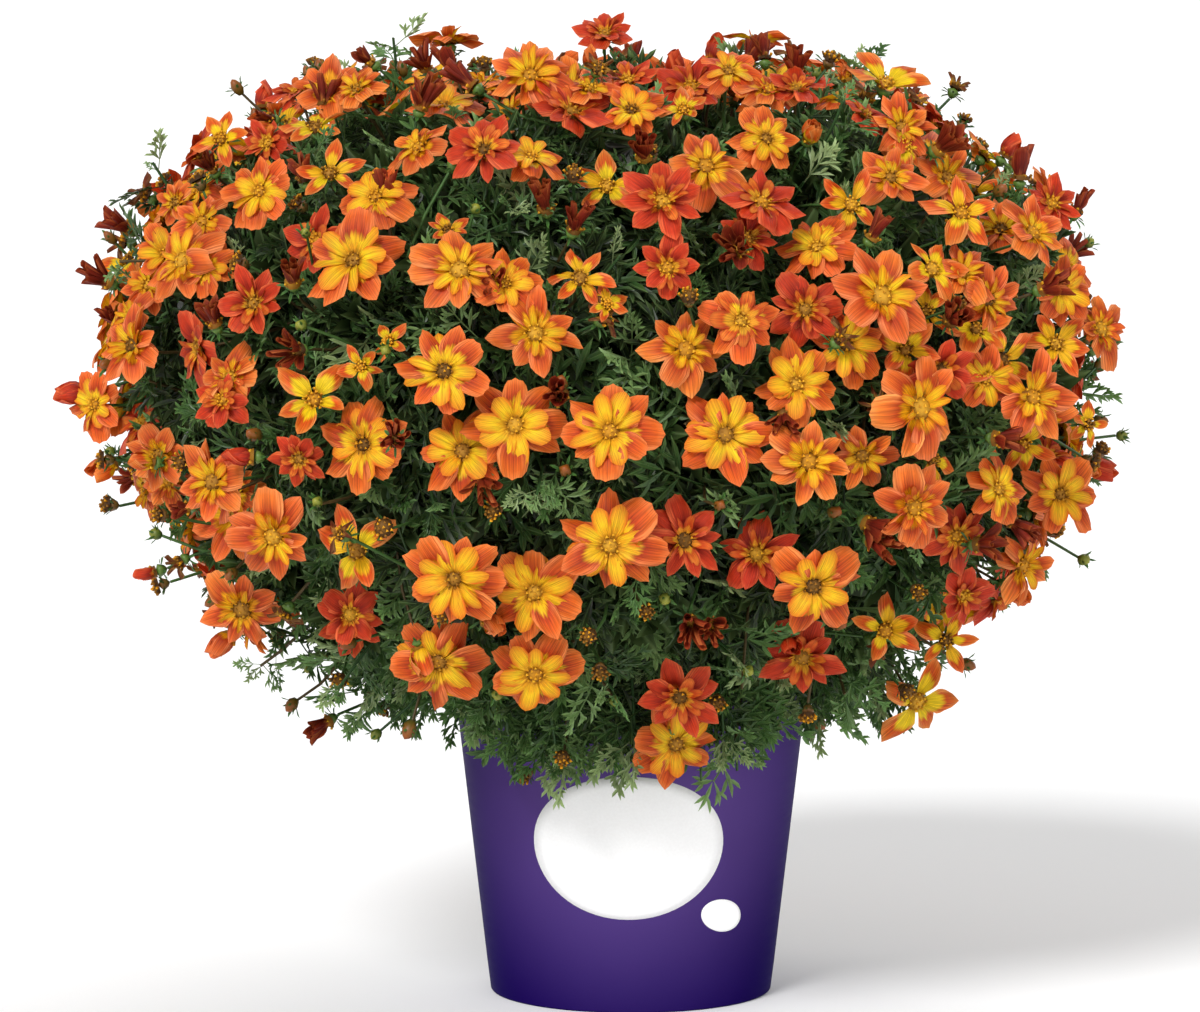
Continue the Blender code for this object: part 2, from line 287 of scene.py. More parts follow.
potShape = {
    "height": 0.134,
    "baseRadius": 0.0596,
    "topRadius": 0.0752,
    "wall": 0.0015,
    "rimHeight": 0.012,
    "rimProud": 0.0018,
    "soilHeight": 0.116,
    "soilMound": 0.004,
    "drainHoles": 6,
    "drainRadius": 0.004,
    "drainRing": 0.043,
}


def potRadius(height):
    share = height / potShape["height"]
    return potShape["baseRadius"] + (potShape["topRadius"] - potShape["baseRadius"]) * share


def insidePot(place, margin):
    # true where a leaf or a flower would cut into the pot
    if place.z > potShape["height"] + margin:
        return False
    return math.hypot(place.x, place.y) < potRadius(place.z) + potShape["rimProud"] + margin


# Where the flowers are. Spots are pixels of the photograph: across, down, diameter, look.
# Looks: a two-tone with five petals, b orange with a yellow ruff, c red-orange, d broad yellow heart.

modelledSpots = [  # the CAD model's own flowers, in its order
    (605, 38, 56, "c"), (1098, 330, 70, "b"), (98, 405, 60, "d"), (530, 78, 84, "b"), (330, 95, 78, "b"),
    (885, 86, 84, "a"), (485, 152, 72, "c"), (662, 203, 76, "c"), (262, 193, 70, "d"), (960, 215, 74, "a"),
    (355, 262, 92, "d"), (460, 272, 92, "b"), (185, 262, 84, "b"), (880, 297, 96, "b"), (740, 322, 72, "d"),
    (445, 372, 90, "d"), (135, 347, 80, "b"), (315, 400, 78, "a"), (918, 408, 94, "b"),
    (1030, 398, 80, "b"), (610, 432, 88, "d"), (808, 462, 84, "b"), (215, 482, 78, "b"),
    (912, 507, 82, "b"), (275, 535, 88, "b"), (610, 545, 92, "d"), (455, 578, 88, "d"), (812, 585, 86, "d"),
    (535, 672, 86, "d"), (675, 742, 84, "d"), (915, 700, 86, "a"),
]
otherSpots = [
    (570, 115, 89, "c"), (632, 113, 70, "d"), (765, 140, 74, "d"), (530, 160, 74, "d"), (705, 168, 89, "b"),
    (608, 187, 70, "a"), (760, 205, 81, "c"), (745, 240, 74, "c"), (270, 145, 58, "c"), (315, 130, 74, "a"),
    (330, 175, 70, "a"), (255, 305, 77, "c"), (505, 285, 70, "d"), (580, 280, 74, "a"), (668, 268, 70, "c"),
    (535, 335, 89, "b"), (685, 350, 85, "b"), (818, 250, 81, "d"), (1030, 235, 81, "b"),
    (805, 310, 74, "c"), (845, 345, 85, "d"), (930, 270, 74, "a"), (960, 275, 74, "b"),
    (1000, 360, 81, "a"), (1055, 345, 74, "a"), (365, 445, 93, "d"), (232, 380, 70, "b"),
    (515, 425, 96, "d"), (463, 452, 93, "d"), (725, 435, 96, "d"), (795, 385, 85, "d"), (995, 490, 77, "d"),
    (1058, 495, 85, "d"), (358, 550, 93, "a"), (535, 592, 96, "d"), (683, 540, 85, "c"),
    (757, 555, 81, "c"), (1020, 565, 81, "b"), (243, 608, 85, "b"), (440, 660, 100, "d"),
    (803, 655, 85, "c"), (680, 695, 85, "c"), (350, 615, 70, "c"), (885, 630, 74, "a"), (945, 640, 66, "a"),
    (377, 199, 78, "d"), (850, 205, 70, "a"), (890, 180, 70, "b"), (975, 330, 74, "a"), (960, 594, 62, "c"),
    (985, 300, 74, "b"), (1060, 290, 70, "d"), (905, 350, 70, "a"), (1086, 424, 50, "a"),
    (940, 370, 74, "c"), (900, 130, 70, "b"), (420, 150, 70, "b"), (203, 224, 70, "b"), (167, 256, 66, "d"),
    (150, 286, 62, "b"), (133, 318, 58, "b"), (358, 92, 62, "b"), (222, 140, 60, "a"), (208, 270, 60, "d"),
    (862, 118, 60, "c"), (903, 148, 56, "a"), (1050, 206, 64, "c"), (925, 312, 60, "a"),
    (985, 378, 66, "d"), (684, 112, 60, "a"), (590, 92, 60, "b"), (629, 84, 60, "c"), (728, 74, 64, "d"),
    (768, 94, 64, "b"), (796, 92, 56, "c"), (606, 306, 48, "a"), (300, 458, 58, "c"), (225, 401, 62, "c"),
    (448, 233, 48, "a"), (391, 343, 46, "a"), (362, 366, 48, "a"), (178, 204, 52, "b"), (300, 96, 66, "c"),
]
leafyPatches = [  # places without flowers: across, down, radius
    (366, 138, 15), (576, 153, 15), (813, 165, 21), (810, 198, 21), (447, 201, 18), (918, 201, 15),
    (495, 207, 21), (867, 231, 15), (417, 237, 15), (543, 249, 21), (627, 252, 15), (711, 255, 18),
    (741, 273, 15), (399, 312, 21), (333, 336, 21), (285, 360, 21), (603, 363, 24), (861, 387, 15),
    (360, 393, 15), (180, 399, 27), (849, 411, 15), (672, 426, 15), (849, 435, 15), (177, 441, 21),
    (672, 471, 24), (330, 486, 18), (738, 498, 30), (564, 498, 18), (441, 507, 15), (513, 510, 30),
    (216, 537, 15), (900, 567, 15), (408, 570, 15), (312, 579, 18), (714, 594, 18), (393, 600, 18),
    (747, 621, 18), (672, 624, 24), (624, 645, 30), (372, 660, 24), (738, 678, 27), (612, 693, 18),
]
closedSpots = [  # dark flowers with rolled petals: across, down
    (110, 283), (130, 230), (330, 720), (475, 87), (420, 110), (795, 75), (765, 60), (937, 150),
    (1020, 180), (950, 320), (870, 540), (395, 440), (480, 478), (560, 395), (300, 350), (1040, 290),
    (870, 240), (690, 620), (293, 283), (644, 157), (546, 210), (573, 231), (738, 252), (993, 438),
    (1010, 520), (975, 545), (323, 108), (306, 182), (387, 203), (216, 326), (709, 624), (865, 522),
]
budSpots = [  # round buds and spent heads: across, down
    (160, 585), (105, 460), (160, 515), (300, 325), (385, 350), (540, 470), (565, 470), (645, 610),
    (590, 635), (600, 670), (690, 405), (840, 625), (830, 60), (525, 775), (1085, 560), (665, 600),
    (495, 510), (720, 505),
]

openLooks = ("a", "b", "c", "d")
flowerPlan = {
    "seed": 7,
    "envelope": (-0.013, 0.0),  # how far past the head's surface a flower's rim may stand
    "looseEnvelope": (-0.008, 0.010),  # the same for closed flowers and buds
    "hangsBelow": -0.52,  # flowers lower than this on the head hang free below the leaves
    "hangingEnvelope": (0.004, 0.010),
    "topmost": 0.404,  # height of the flower that stands above all others
    "fullness": 1.2,  # the photograph's flowers against the sizes read from it
    "otherFullness": 1.1,
    "modelledBackDiameter": 0.036,
    "modelledBackRows": ((58, 2), (22, 3), (-16, 2)),  # elevation in degrees, flowers in the row
    "spacing": 0.0305,  # the least distance between the flowers that fill the gaps
    "diameters": (0.030, 0.041),
    "underSpacing": 0.0258,  # and of those that look out from under the others
    "underDiameters": (0.028, 0.036),
    "underDepth": (-0.026, -0.014),
    "leafyGaps": 0.36,  # how much of the head is left with few flowers
    "gapScale": 4.5,
    "frontTurn": 0.62,  # the part of the head that is full of flowers in the photograph
    "shownTurn": 0.22,  # and all that the photograph shows
    "patchMargin": 22,  # pixels that a scattered flower's middle keeps from a leafy patch
    "lowestElevation": -31,  # in degrees; below it the skirt is only leaves
    "highest": 0.385,  # only the topmost flower of the photograph stands higher
    "looseHighest": 0.393,
    "shownHighest": 0.401,
    "sideways": (-0.228, 0.207),
    "closedSpacing": 0.040,
    "budSpacing": 0.034,
    "budDiameters": {"bud": (0.0042, 0.0052), "tipped": (0.0044, 0.0056), "spent": (0.0062, 0.0080)},
    "shownClosedDiameters": (0.026, 0.034),
    "closedDiameters": {"claw": (0.019, 0.029), "opening": (0.019, 0.029), "withered": (0.016, 0.022)},
    "lookMix": "aabbbbcccddd",
    "closedMix": ("claw", "opening", "opening", "withered", "withered"),
    "budMix": ("bud", "tipped", "spent", "spent"),
    "lifts": (0.002, -0.005, 0.006, -0.011, -0.016),
    "shownLift": 0.002,  # of the modelled flowers and the buds; a closed flower's is larger
    "shownClosedLift": 0.008,
    "closedDepth": (-0.014, 0.010),
    "budDepth": (-0.012, 0.012),
    "tilts": {"modelled": 0.16, "other": 0.36, "filling": 0.44, "under": 0.55,
              "shownClosed": 0.5, "closed": 0.6, "bud": 0.5},  # how far each kind turns by chance
    "topSpread": 0.006,  # below the highest that a flower may stand
    "rimPoints": 8,  # where a flower's rim is measured, and how far ahead of its middle
    "rimAhead": 0.2,
    "overlap": 0.42,  # of two diameters: nearer than this the petals overlap
    "overlapMargin": 0.01,
    "overlapHeight": 0.006,  # the height between two flowers that clears their petals
    "budClear": 0.55,  # of an open flower's diameter, kept free of buds
    "budBehind": -0.004,
    "potClear": 0.03,
    "budPotClear": 0.02,
    "lowestBud": -0.9,
    "tries": 9000,
}


def directionOf(azimuth, elevation):
    level = math.cos(elevation)
    return Vector((level * math.cos(azimuth), level * math.sin(azimuth), math.sin(elevation)))


def standsOut(place, facing, radius):
    # how far a flower's rim reaches past the head's surface
    side = facing.orthogonal().normalized()
    other = facing.cross(side)
    most = -1.0
    for i in range(flowerPlan["rimPoints"]):
        turn = 2 * math.pi * i / flowerPlan["rimPoints"]
        rim = place + turnedAbout(side, other, turn) * radius
        rim += facing * radius * flowerPlan["rimAhead"]
        offset = rim - head["centre"]
        most = max(most, offset.length - headReach(offset.normalized()))
    return most


def newFlower(direction, diameter, look, draw, lift=0.0, jitter=0.1, lean=0.0, pixel=None):
    facing = headNormal(direction) + up * head["flowerLift"] - Vector((0.0, lean, 0.0))
    facing = (facing.normalized() + anyWay(draw, jitter)).normalized()
    place = headPoint(direction) + facing * lift
    loose = look not in openLooks
    envelope = flowerPlan["looseEnvelope" if loose else "envelope"]
    if direction.z < flowerPlan["hangsBelow"]:
        envelope = flowerPlan["hangingEnvelope"]
    excess = standsOut(place, facing, diameter / 2) - draw.uniform(*envelope)
    if excess > 0:
        place -= direction * excess
    highest = flowerPlan["looseHighest" if loose else "highest"]
    if pixel:
        # the photograph's own flowers stand where it shows them
        place = placeAtPixel(*pixel, (place - eye).dot(ahead))
        highest = flowerPlan["shownHighest"]
    if place.z > highest:
        place.z = highest - draw.uniform(0.0, flowerPlan["topSpread"])
    leftmost, rightmost = flowerPlan["sideways"]
    place.x = min(max(place.x, leftmost), rightmost)
    return {"place": place, "facing": facing, "diameter": diameter, "look": look, "direction": direction}


def bestLift(direction, diameter, placed):
    # neighbours that overlap stand at different heights, so that their petals pass over each other
    place = headPoint(direction)
    crowded = []
    for lift in flowerPlan["lifts"]:
        clash = 0.0
        for other in placed:
            gap = (other["place"] - place).length
            wanted = flowerPlan["overlap"] * (other["diameter"] + diameter)
            if gap < wanted + flowerPlan["overlapMargin"]:
                height = abs((other["place"] - place).dot(other["facing"]) - lift)
                clash += max(0.0, flowerPlan["overlapHeight"] - height) * max(0.0, wanted - gap)
        crowded.append((clash, abs(lift), lift))
    return min(crowded)[2]


def turnedToPhotograph(direction):
    # 1 where the head's surface faces the photograph, 0 at the edge of what it shows
    return headNormal(direction).dot((eye - headPoint(direction)).normalized())


def inLeafyPatch(direction):
    if turnedToPhotograph(direction) < flowerPlan["shownTurn"]:
        return False
    across, down = pixelOf(headPoint(direction))
    return any(math.hypot(across - x, down - y) < radius + flowerPlan["patchMargin"]
               for x, y, radius in leafyPatches)


def scatterDirections(draw, spacing, taken, allowed):
    # darts thrown on the head that keep their distance from each other and from what is there
    found = []
    for _ in range(flowerPlan["tries"]):
        height = draw.uniform(-1.0, 1.0)
        direction = directionOf(draw.uniform(0.0, 2 * math.pi), math.asin(height))
        if not allowed(direction):
            continue
        place = headPoint(direction)
        if all((place - other).length > spacing for other in taken + found):
            found.append(place)
            yield direction


def standsBefore(place, flowers):
    # true where a bud would hide the middle of an open flower
    for flower in flowers:
        offset = place - flower["place"]
        near = offset.length < flower["diameter"] * flowerPlan["budClear"]
        if near and offset.dot(flower["facing"]) > flowerPlan["budBehind"]:
            return True
    return False


def planFlowers():
    draw = random.Random(flowerPlan["seed"])
    flowers, closed, buds = [], [], []
    tilts, shownLift = flowerPlan["tilts"], flowerPlan["shownLift"]
    frontLean = head["frontLean"]
    for across, down, diameter, look in modelledSpots:
        direction, distance = seenOnHead(across, down)
        size = flowerPlan["fullness"] * diameter * view["metresPerPixel"] * distance / view["distance"]
        flower = newFlower(direction, size, look, draw, shownLift, tilts["modelled"], frontLean,
                           (across, down))
        # as deep as its CAD node, which stands on the head's surface
        flower["place"] = placeAtPixel(across, down, (headPoint(direction) - eye).dot(ahead))
        flowers.append(flower)
    flowers[0]["place"].z = flowerPlan["topmost"]
    for elevation, count in flowerPlan["modelledBackRows"]:
        for i in range(count):
            direction = directionOf(math.pi * (i + 0.5) / count, math.radians(elevation))
            flower = newFlower(direction, flowerPlan["modelledBackDiameter"], draw.choice(openLooks), draw)
            flower["place"] = headPoint(direction)
            flowers.append(flower)
    for across, down, diameter, look in otherSpots:
        direction, distance = seenOnHead(across, down)
        size = flowerPlan["otherFullness"] * diameter * view["metresPerPixel"] * distance / view["distance"]
        lift, tilt = bestLift(direction, size, flowers), tilts["other"]
        flowers.append(newFlower(direction, size, look, draw, lift, tilt, frontLean, (across, down)))
    lowest = math.sin(math.radians(flowerPlan["lowestElevation"]))

    def canFlower(direction):
        inPot = insidePot(headPoint(direction), flowerPlan["potClear"])
        if direction.z < lowest or inPot or inLeafyPatch(direction):
            return False
        if turnedToPhotograph(direction) > flowerPlan["frontTurn"]:
            return True
        return noise.noise(direction * flowerPlan["gapScale"]) + 0.5 > flowerPlan["leafyGaps"]

    for under in (False, True):
        spacing = flowerPlan["underSpacing" if under else "spacing"]
        sizes = flowerPlan["underDiameters" if under else "diameters"]
        tilt = tilts["under" if under else "filling"]
        taken = [headPoint(flower["direction"]) for flower in flowers]
        for direction in scatterDirections(draw, spacing, taken, canFlower):
            size = draw.uniform(*sizes)
            look = draw.choice(flowerPlan["lookMix"])
            lean = frontLean if turnedToPhotograph(direction) > flowerPlan["shownTurn"] else 0.0
            lift = draw.uniform(*flowerPlan["underDepth"]) if under else bestLift(direction, size, flowers)
            flowers.append(newFlower(direction, size, look, draw, lift, tilt, lean))

    for across, down in closedSpots:
        direction, _ = seenOnHead(across, down)
        size = draw.uniform(*flowerPlan["shownClosedDiameters"])
        lift, tilt = flowerPlan["shownClosedLift"], tilts["shownClosed"]
        closed.append(newFlower(direction, size, "claw", draw, lift, tilt, 0.0, (across, down)))
    taken = [flower["place"] for flower in closed]
    for direction in scatterDirections(draw, flowerPlan["closedSpacing"], taken, canFlower):
        look = draw.choice(flowerPlan["closedMix"])
        size = draw.uniform(*flowerPlan["closedDiameters"][look])
        lift = draw.uniform(*flowerPlan["closedDepth"])
        closed.append(newFlower(direction, size, look, draw, lift, tilts["closed"]))

    for across, down in budSpots:
        direction, _ = seenOnHead(across, down)
        kind = draw.choice(flowerPlan["budMix"])
        size = draw.uniform(*flowerPlan["budDiameters"][kind])
        bud = newFlower(direction, size, kind, draw, shownLift, tilts["bud"], 0.0, (across, down))
        if not standsBefore(bud["place"], flowers):
            buds.append(bud)
    taken = [flower["place"] for flower in buds]

    def canBud(direction):
        return direction.z > flowerPlan["lowestBud"]

    for direction in scatterDirections(draw, flowerPlan["budSpacing"], taken, canBud):
        if insidePot(headPoint(direction), flowerPlan["budPotClear"]):
            continue
        kind = draw.choice(flowerPlan["budMix"])
        size = draw.uniform(*flowerPlan["budDiameters"][kind])
        bud = newFlower(direction, size, kind, draw, draw.uniform(*flowerPlan["budDepth"]), tilts["bud"])
        if not standsBefore(bud["place"], flowers):
            buds.append(bud)
    return flowers, closed, buds


flowers, closedFlowers, buds = planFlowers()
print("planned:", len(flowers), "open flowers,", len(closedFlowers), "closed,",
      len(buds), "buds and spent heads")


# Geometry Nodes trees

def newTree(name, inputs):
    # inputs: {name: (socket type, default)}; Geometry in and out come with it
    tree = bpy.data.node_groups.new(name, "GeometryNodeTree")
    tree.is_modifier = True
    tree.interface.new_socket("Geometry", in_out="INPUT", socket_type="NodeSocketGeometry")
    tree.interface.new_socket("Geometry", in_out="OUTPUT", socket_type="NodeSocketGeometry")
    for socketName, (kind, default) in inputs.items():
        socket = tree.interface.new_socket(socketName, in_out="INPUT", socket_type=kind)
        if default is not None:
            socket.default_value = default
    given, result = tree.nodes.new("NodeGroupInput"), tree.nodes.new("NodeGroupOutput")
    return tree, partial(addNode, tree), given, result


mapTiles = {
    "fill": 0.92,  # of a tile's width that a piece's own map takes
    "margin": 0.04,
    "twigWidth": 0.9,  # of a twig's lane
}


def makeScatterTree():
    # one copy of a kind on each point, turned, sized and given its tile of the map
    tree, add, given, result = newTree("scatterKinds", {
        "Kinds": ("NodeSocketCollection", None),
        "Size": ("NodeSocketFloat", 1.0),
        "Size variation": ("NodeSocketFloat", 0.0),
        "Seed": ("NodeSocketInt", 3),
        "Own map": ("NodeSocketString", "ownMap"),
        "Tiles across": ("NodeSocketFloat", 8.0),
        "Tiles down": ("NodeSocketFloat", 8.0),
        "Finish": ("NodeSocketMaterial", None),
    })
    kinds = add("GeometryNodeCollectionInfo", None, {
        "Collection": given.outputs["Kinds"], "Separate Children": True, "Reset Children": True})
    stretch, pick, turn, tile, ownMap = (
        add("GeometryNodeInputNamedAttribute", {"data_type": dataType}, {"Name": name})
        for name, dataType in (("stretch", "FLOAT_VECTOR"), ("pick", "INT"), ("turn", "QUATERNION"),
                               ("tile", "INT"), (given.outputs["Own map"], "FLOAT_VECTOR")))
    low = add("ShaderNodeMath", "SUBTRACT", {0: 1.0, 1: given.outputs["Size variation"]})
    high = add("ShaderNodeMath", "ADD", {0: 1.0, 1: given.outputs["Size variation"]})
    chance = add("FunctionNodeRandomValue", {"data_type": "FLOAT"}, {
        "Min": low, "Max": high, "Seed": given.outputs["Seed"]})
    factor = add("ShaderNodeMath", "MULTIPLY", {0: chance, 1: given.outputs["Size"]})
    size = add("ShaderNodeVectorMath", "SCALE", {"Vector": stretch, "Scale": factor})
    copies = add("GeometryNodeInstanceOnPoints", None, {
        "Points": given.outputs["Geometry"], "Instance": kinds, "Pick Instance": True,
        "Instance Index": pick, "Rotation": turn, "Scale": size})
    real = add("GeometryNodeRealizeInstances", None, {"Geometry": copies})

    # the bake map: the kind's own map, shrunk a little, in the tile's square
    across, down = given.outputs["Tiles across"], given.outputs["Tiles down"]
    fill, margin = mapTiles["fill"], mapTiles["margin"]
    column = add("ShaderNodeMath", "FLOORED_MODULO", {0: tile, 1: across})
    share = add("ShaderNodeMath", "DIVIDE", {0: tile, 1: across})
    row = add("ShaderNodeMath", "FLOOR", {0: share})
    shrunk = add("ShaderNodeVectorMath", "MULTIPLY_ADD", {
        0: ownMap, 1: (fill, fill, 0.0), 2: (margin, margin, 0.0)})
    corner = add("ShaderNodeCombineXYZ", None, {"X": column, "Y": row})
    moved = add("ShaderNodeVectorMath", "ADD", {0: shrunk, 1: corner})
    tiles = add("ShaderNodeCombineXYZ", None, {"X": across, "Y": down, "Z": 1.0})
    placed = add("ShaderNodeVectorMath", "DIVIDE", {0: moved, 1: tiles})
    stored = add("GeometryNodeStoreNamedAttribute", {"data_type": "FLOAT2", "domain": "CORNER"}, {
        "Geometry": real, "Name": "OFBake", "Value": placed})
    finished = add("GeometryNodeSetMaterial", None, {
        "Geometry": stored, "Material": given.outputs["Finish"]})
    tree.links.new(finished.outputs[0], result.inputs[0])
    return tree


def makeTwigTree():
    # a tapered tube along each chain of edges
    tree, add, given, result = newTree("growTwigs", {
        "Thickness": ("NodeSocketFloat", 1.0),
        "Sides": ("NodeSocketInt", 5),
        "Tones": ("NodeSocketFloat", 4.0),
        "Finish": ("NodeSocketMaterial", None),
    })
    thickness, around, tone, along = (
        add("GeometryNodeInputNamedAttribute", {"data_type": "FLOAT"}, {"Name": name})
        for name in ("thickness", "around", "tone", "along"))
    line = add("GeometryNodeMeshToCurve", None, {"Mesh": given.outputs["Geometry"]})
    radius = add("ShaderNodeMath", "MULTIPLY", {0: thickness, 1: given.outputs["Thickness"]})
    sized = add("GeometryNodeSetCurveRadius", None, {"Curve": line, "Radius": radius})
    ring = add("GeometryNodeCurvePrimitiveCircle", None, {
        "Resolution": given.outputs["Sides"], "Radius": 1.0})
    ringShare = add("GeometryNodeSplineParameter")
    ringMarked = add("GeometryNodeStoreNamedAttribute", {"data_type": "FLOAT", "domain": "POINT"}, {
        "Geometry": ring, "Name": "around", "Value": ringShare.outputs["Factor"]})
    tube = add("GeometryNodeCurveToMesh", None, {
        "Curve": sized, "Profile Curve": ringMarked, "Fill Caps": True})
    if "Scale" in tube.inputs:
        tree.links.new(radius.outputs[0], tube.inputs["Scale"])
    toneAround = add("ShaderNodeMath", "MULTIPLY_ADD", {0: around, 1: mapTiles["twigWidth"], 2: tone})
    lane = add("ShaderNodeMath", "DIVIDE", {0: toneAround, 1: given.outputs["Tones"]})
    corner = add("ShaderNodeCombineXYZ", None, {"X": along, "Y": lane})
    stored = add("GeometryNodeStoreNamedAttribute", {"data_type": "FLOAT2", "domain": "CORNER"}, {
        "Geometry": tube, "Name": "OFBake", "Value": corner})
    smoothed = add("GeometryNodeSetShadeSmooth", None, {"Geometry": stored, "Shade Smooth": True})
    real = add("GeometryNodeRealizeInstances", None, {"Geometry": smoothed})
    finished = add("GeometryNodeSetMaterial", None, {"Geometry": real, "Material": given.outputs["Finish"]})
    tree.links.new(finished.outputs[0], result.inputs[0])
    return tree


scatterTree = makeScatterTree()
twigTree = makeTwigTree()


def scatterPiece(name, spots, kinds, values):
    # spots: dictionaries with place, turn, stretch, pick, tile and the attributes of their look
    mesh = bpy.data.meshes.new(name + "Points")
    mesh.from_pydata([tuple(spot["place"]) for spot in spots], [], [])
    forms = {"turn": ("QUATERNION", "value"), "stretch": ("FLOAT_VECTOR", "vector"),
             "pick": ("INT", "value"), "tile": ("INT", "value")}
    for key in spots[0]:
        if key == "place":
            continue
        dataType, field = forms.get(key) or (
            ("FLOAT_COLOR", "color") if len(spots[0][key]) == 4 else ("FLOAT_VECTOR", "vector"))
        layer = mesh.attributes.new(key, dataType, "POINT")
        flat = [value for spot in spots
                for value in (spot[key] if hasattr(spot[key], "__len__") else (spot[key],))]
        layer.data.foreach_set(field, flat)
    source = newObject(name + "Source", mesh)
    folder = bpy.data.collections.new(name + "Kinds")
    for i, kindMesh in enumerate(kinds):
        folder.objects.link(bpy.data.objects.new(f"{name}Kind{i:02d}", kindMesh))
    modifierWith(source, scatterTree, {"Kinds": folder, **values})
    piece = bakedObject(name, source)
    for kind in list(folder.objects):
        bpy.data.objects.remove(kind)
    bpy.data.collections.remove(folder)
    return piece


# Petals

petalForm = {
    "columns": 6,
    "rows": 5,
    "innerColumns": 4,
    "innerRows": 3,
    "raysOnDisc": 0.13,  # where a petal starts, as a share of the flower's radius
    "widest": 0.64,  # where along its length a petal is widest
    "swellPower": 1.3,
    "narrowing": 0.14,  # from there to the tip
    "toothWaves": 1.5,
    "grooves": 3,
    "leastRoll": 0.01,
}
# width is a share of the length; point and pointPower shape the tip; rolls are in radians
shapeParts = (
    "width", "claw", "point", "pointPower", "rollBase", "rollTip",
    "groove", "arch", "droop", "twist", "teeth")
petalShapes = {
    "broad": (0.7, 0.3, 0.18, 2.0, 0.8, -0.45, 0.022, 0.08, -0.12, 0.0, 0.04),
    "pointed": (0.62, 0.3, 0.34, 1.5, 1.0, -0.3, 0.022, 0.08, -0.1, 0.0, 0.02),
    "wavy": (0.62, 0.3, 0.28, 1.6, 0.9, -0.9, 0.026, 0.1, -0.24, 0.5, 0.05),
    "folded": (0.6, 0.3, 0.28, 1.5, 1.3, 1.1, 0.014, 0.03, 0.08, -0.3, 0.02),
    "narrow": (0.5, 0.34, 0.32, 1.5, 1.1, 0.5, 0.02, 0.06, -0.06, 0.15, 0.03),
    "rolled": (0.62, 0.55, 0.16, 1.6, 2.2, 2.8, 0.0, 0.06, 0.2, 0.3, 0.0),
    "cupped": (0.66, 0.6, 0.26, 1.6, 1.0, 1.2, 0.01, -0.16, 0.3, 0.1, 0.0),
    "shrivelled": (0.3, 0.5, 0.3, 1.2, 1.6, -1.8, 0.03, 0.2, -0.3, 1.4, 0.06),
}
innerShapes = {
    "ruff": (0.58, 0.36, 0.12, 2.0, 1.4, 0.9, 0.04, 0.05, -0.12, 0.2, 0.07),
    "ruffTwisted": (0.5, 0.36, 0.18, 1.6, 1.5, 1.2, 0.04, 0.03, 0.08, -0.6, 0.06),
    "frill": (0.66, 0.34, 0.12, 2.0, 1.0, 0.4, 0.04, 0.06, -0.08, 0.0, 0.07),
    "frillWavy": (0.6, 0.34, 0.18, 1.8, 1.1, 0.8, 0.05, 0.08, -0.2, 0.4, 0.05),
}


def petalPoint(shape, across, along):
    # across runs from -1 to 1, along from 0 to 1; the petal is one unit long and its upper side is up
    widest = petalForm["widest"]
    swell = math.sin(min(1.0, along / widest) * math.pi / 2) ** petalForm["swellPower"]
    half = shape["width"] / 2 * (shape["claw"] + (1 - shape["claw"]) * swell)
    half *= 1 - petalForm["narrowing"] * max(0.0, (along - widest) / (1 - widest)) ** 2
    teeth = shape["teeth"] * math.sin(petalForm["toothWaves"] * math.pi * across) ** 2
    length = along * (1 - shape["point"] * abs(across) ** shape["pointPower"] - teeth)
    roll = shape["rollBase"] * (1 - along) + shape["rollTip"] * along
    if abs(roll) < petalForm["leastRoll"]:
        roll = petalForm["leastRoll"]
    side = half * math.sin(across * roll) / roll
    rise = half * (1 - math.cos(across * roll)) / roll
    grooves = math.cos(petalForm["grooves"] * math.pi * across) * math.sin(math.pi * along) ** 0.5
    rise += shape["groove"] * grooves
    turn = shape["twist"] * along
    cosine, sine = math.cos(turn), math.sin(turn)
    side, rise = side * cosine - rise * sine, side * sine + rise * cosine
    rise += shape["arch"] * math.sin(math.pi * along) + shape["droop"] * along ** 2
    return Vector((length, side, rise))


def petalMesh(name, values, columns, rows):
    shape = dict(zip(shapeParts, values))
    points, faces, corners = [], [], []
    for j in range(rows + 1):
        for i in range(columns + 1):
            points.append(petalPoint(shape, 2 * i / columns - 1, j / rows))
    for j in range(rows):
        for i in range(columns):
            first = j * (columns + 1) + i
            faces.append((first, first + columns + 1, first + columns + 2, first + 1)[::-1])
            square = [(i, j), (i, j + 1), (i + 1, j + 1), (i + 1, j)][::-1]
            corners += [(u / columns, v / rows) for u, v in square]
    return meshFrom(name, points, faces, {"petalMap": corners})


# heart, blush and tip are the colours from the base outwards, and margin is the edge's
tintParts = ("heart", "blush", "tip", "margin")
petalLooks = {  # those four colours, and how far the heart reaches
    "twoTone": ("#ffd018", "#d83c08", "#f07c24", "#f99a56", 0.50),
    "orange": ("#ffb20e", "#b02006", "#f6792a", "#f99a58", 0.32),
    "redOrange": ("#f27c16", "#800c08", "#d03812", "#f0703e", 0.14),
    "rimmed": ("#ffca1c", "#a81c06", "#ee6a1c", "#f88e4c", 0.38),
    "maroon": ("#b05c2a", "#64140c", "#8a2a14", "#c0602e", 0.18),
    "innerYellow": ("#fbb41a", "#ffd41e", "#f8a61a", "#e25c0a", 0.30),
    "innerOrange": ("#f8a828", "#d03a0a", "#f0802c", "#b0220a", 0.40),
    "faded": ("#b98534", "#86401c", "#6a3018", "#8a6234", 0.50),
}
tintsPerLook = 8
tintSpread = {
    "seed": 21,
    "gain": (-0.12, 0.10),
    "warmth": (-0.16, 0.16),
    "reach": (-0.06, 0.06),
}


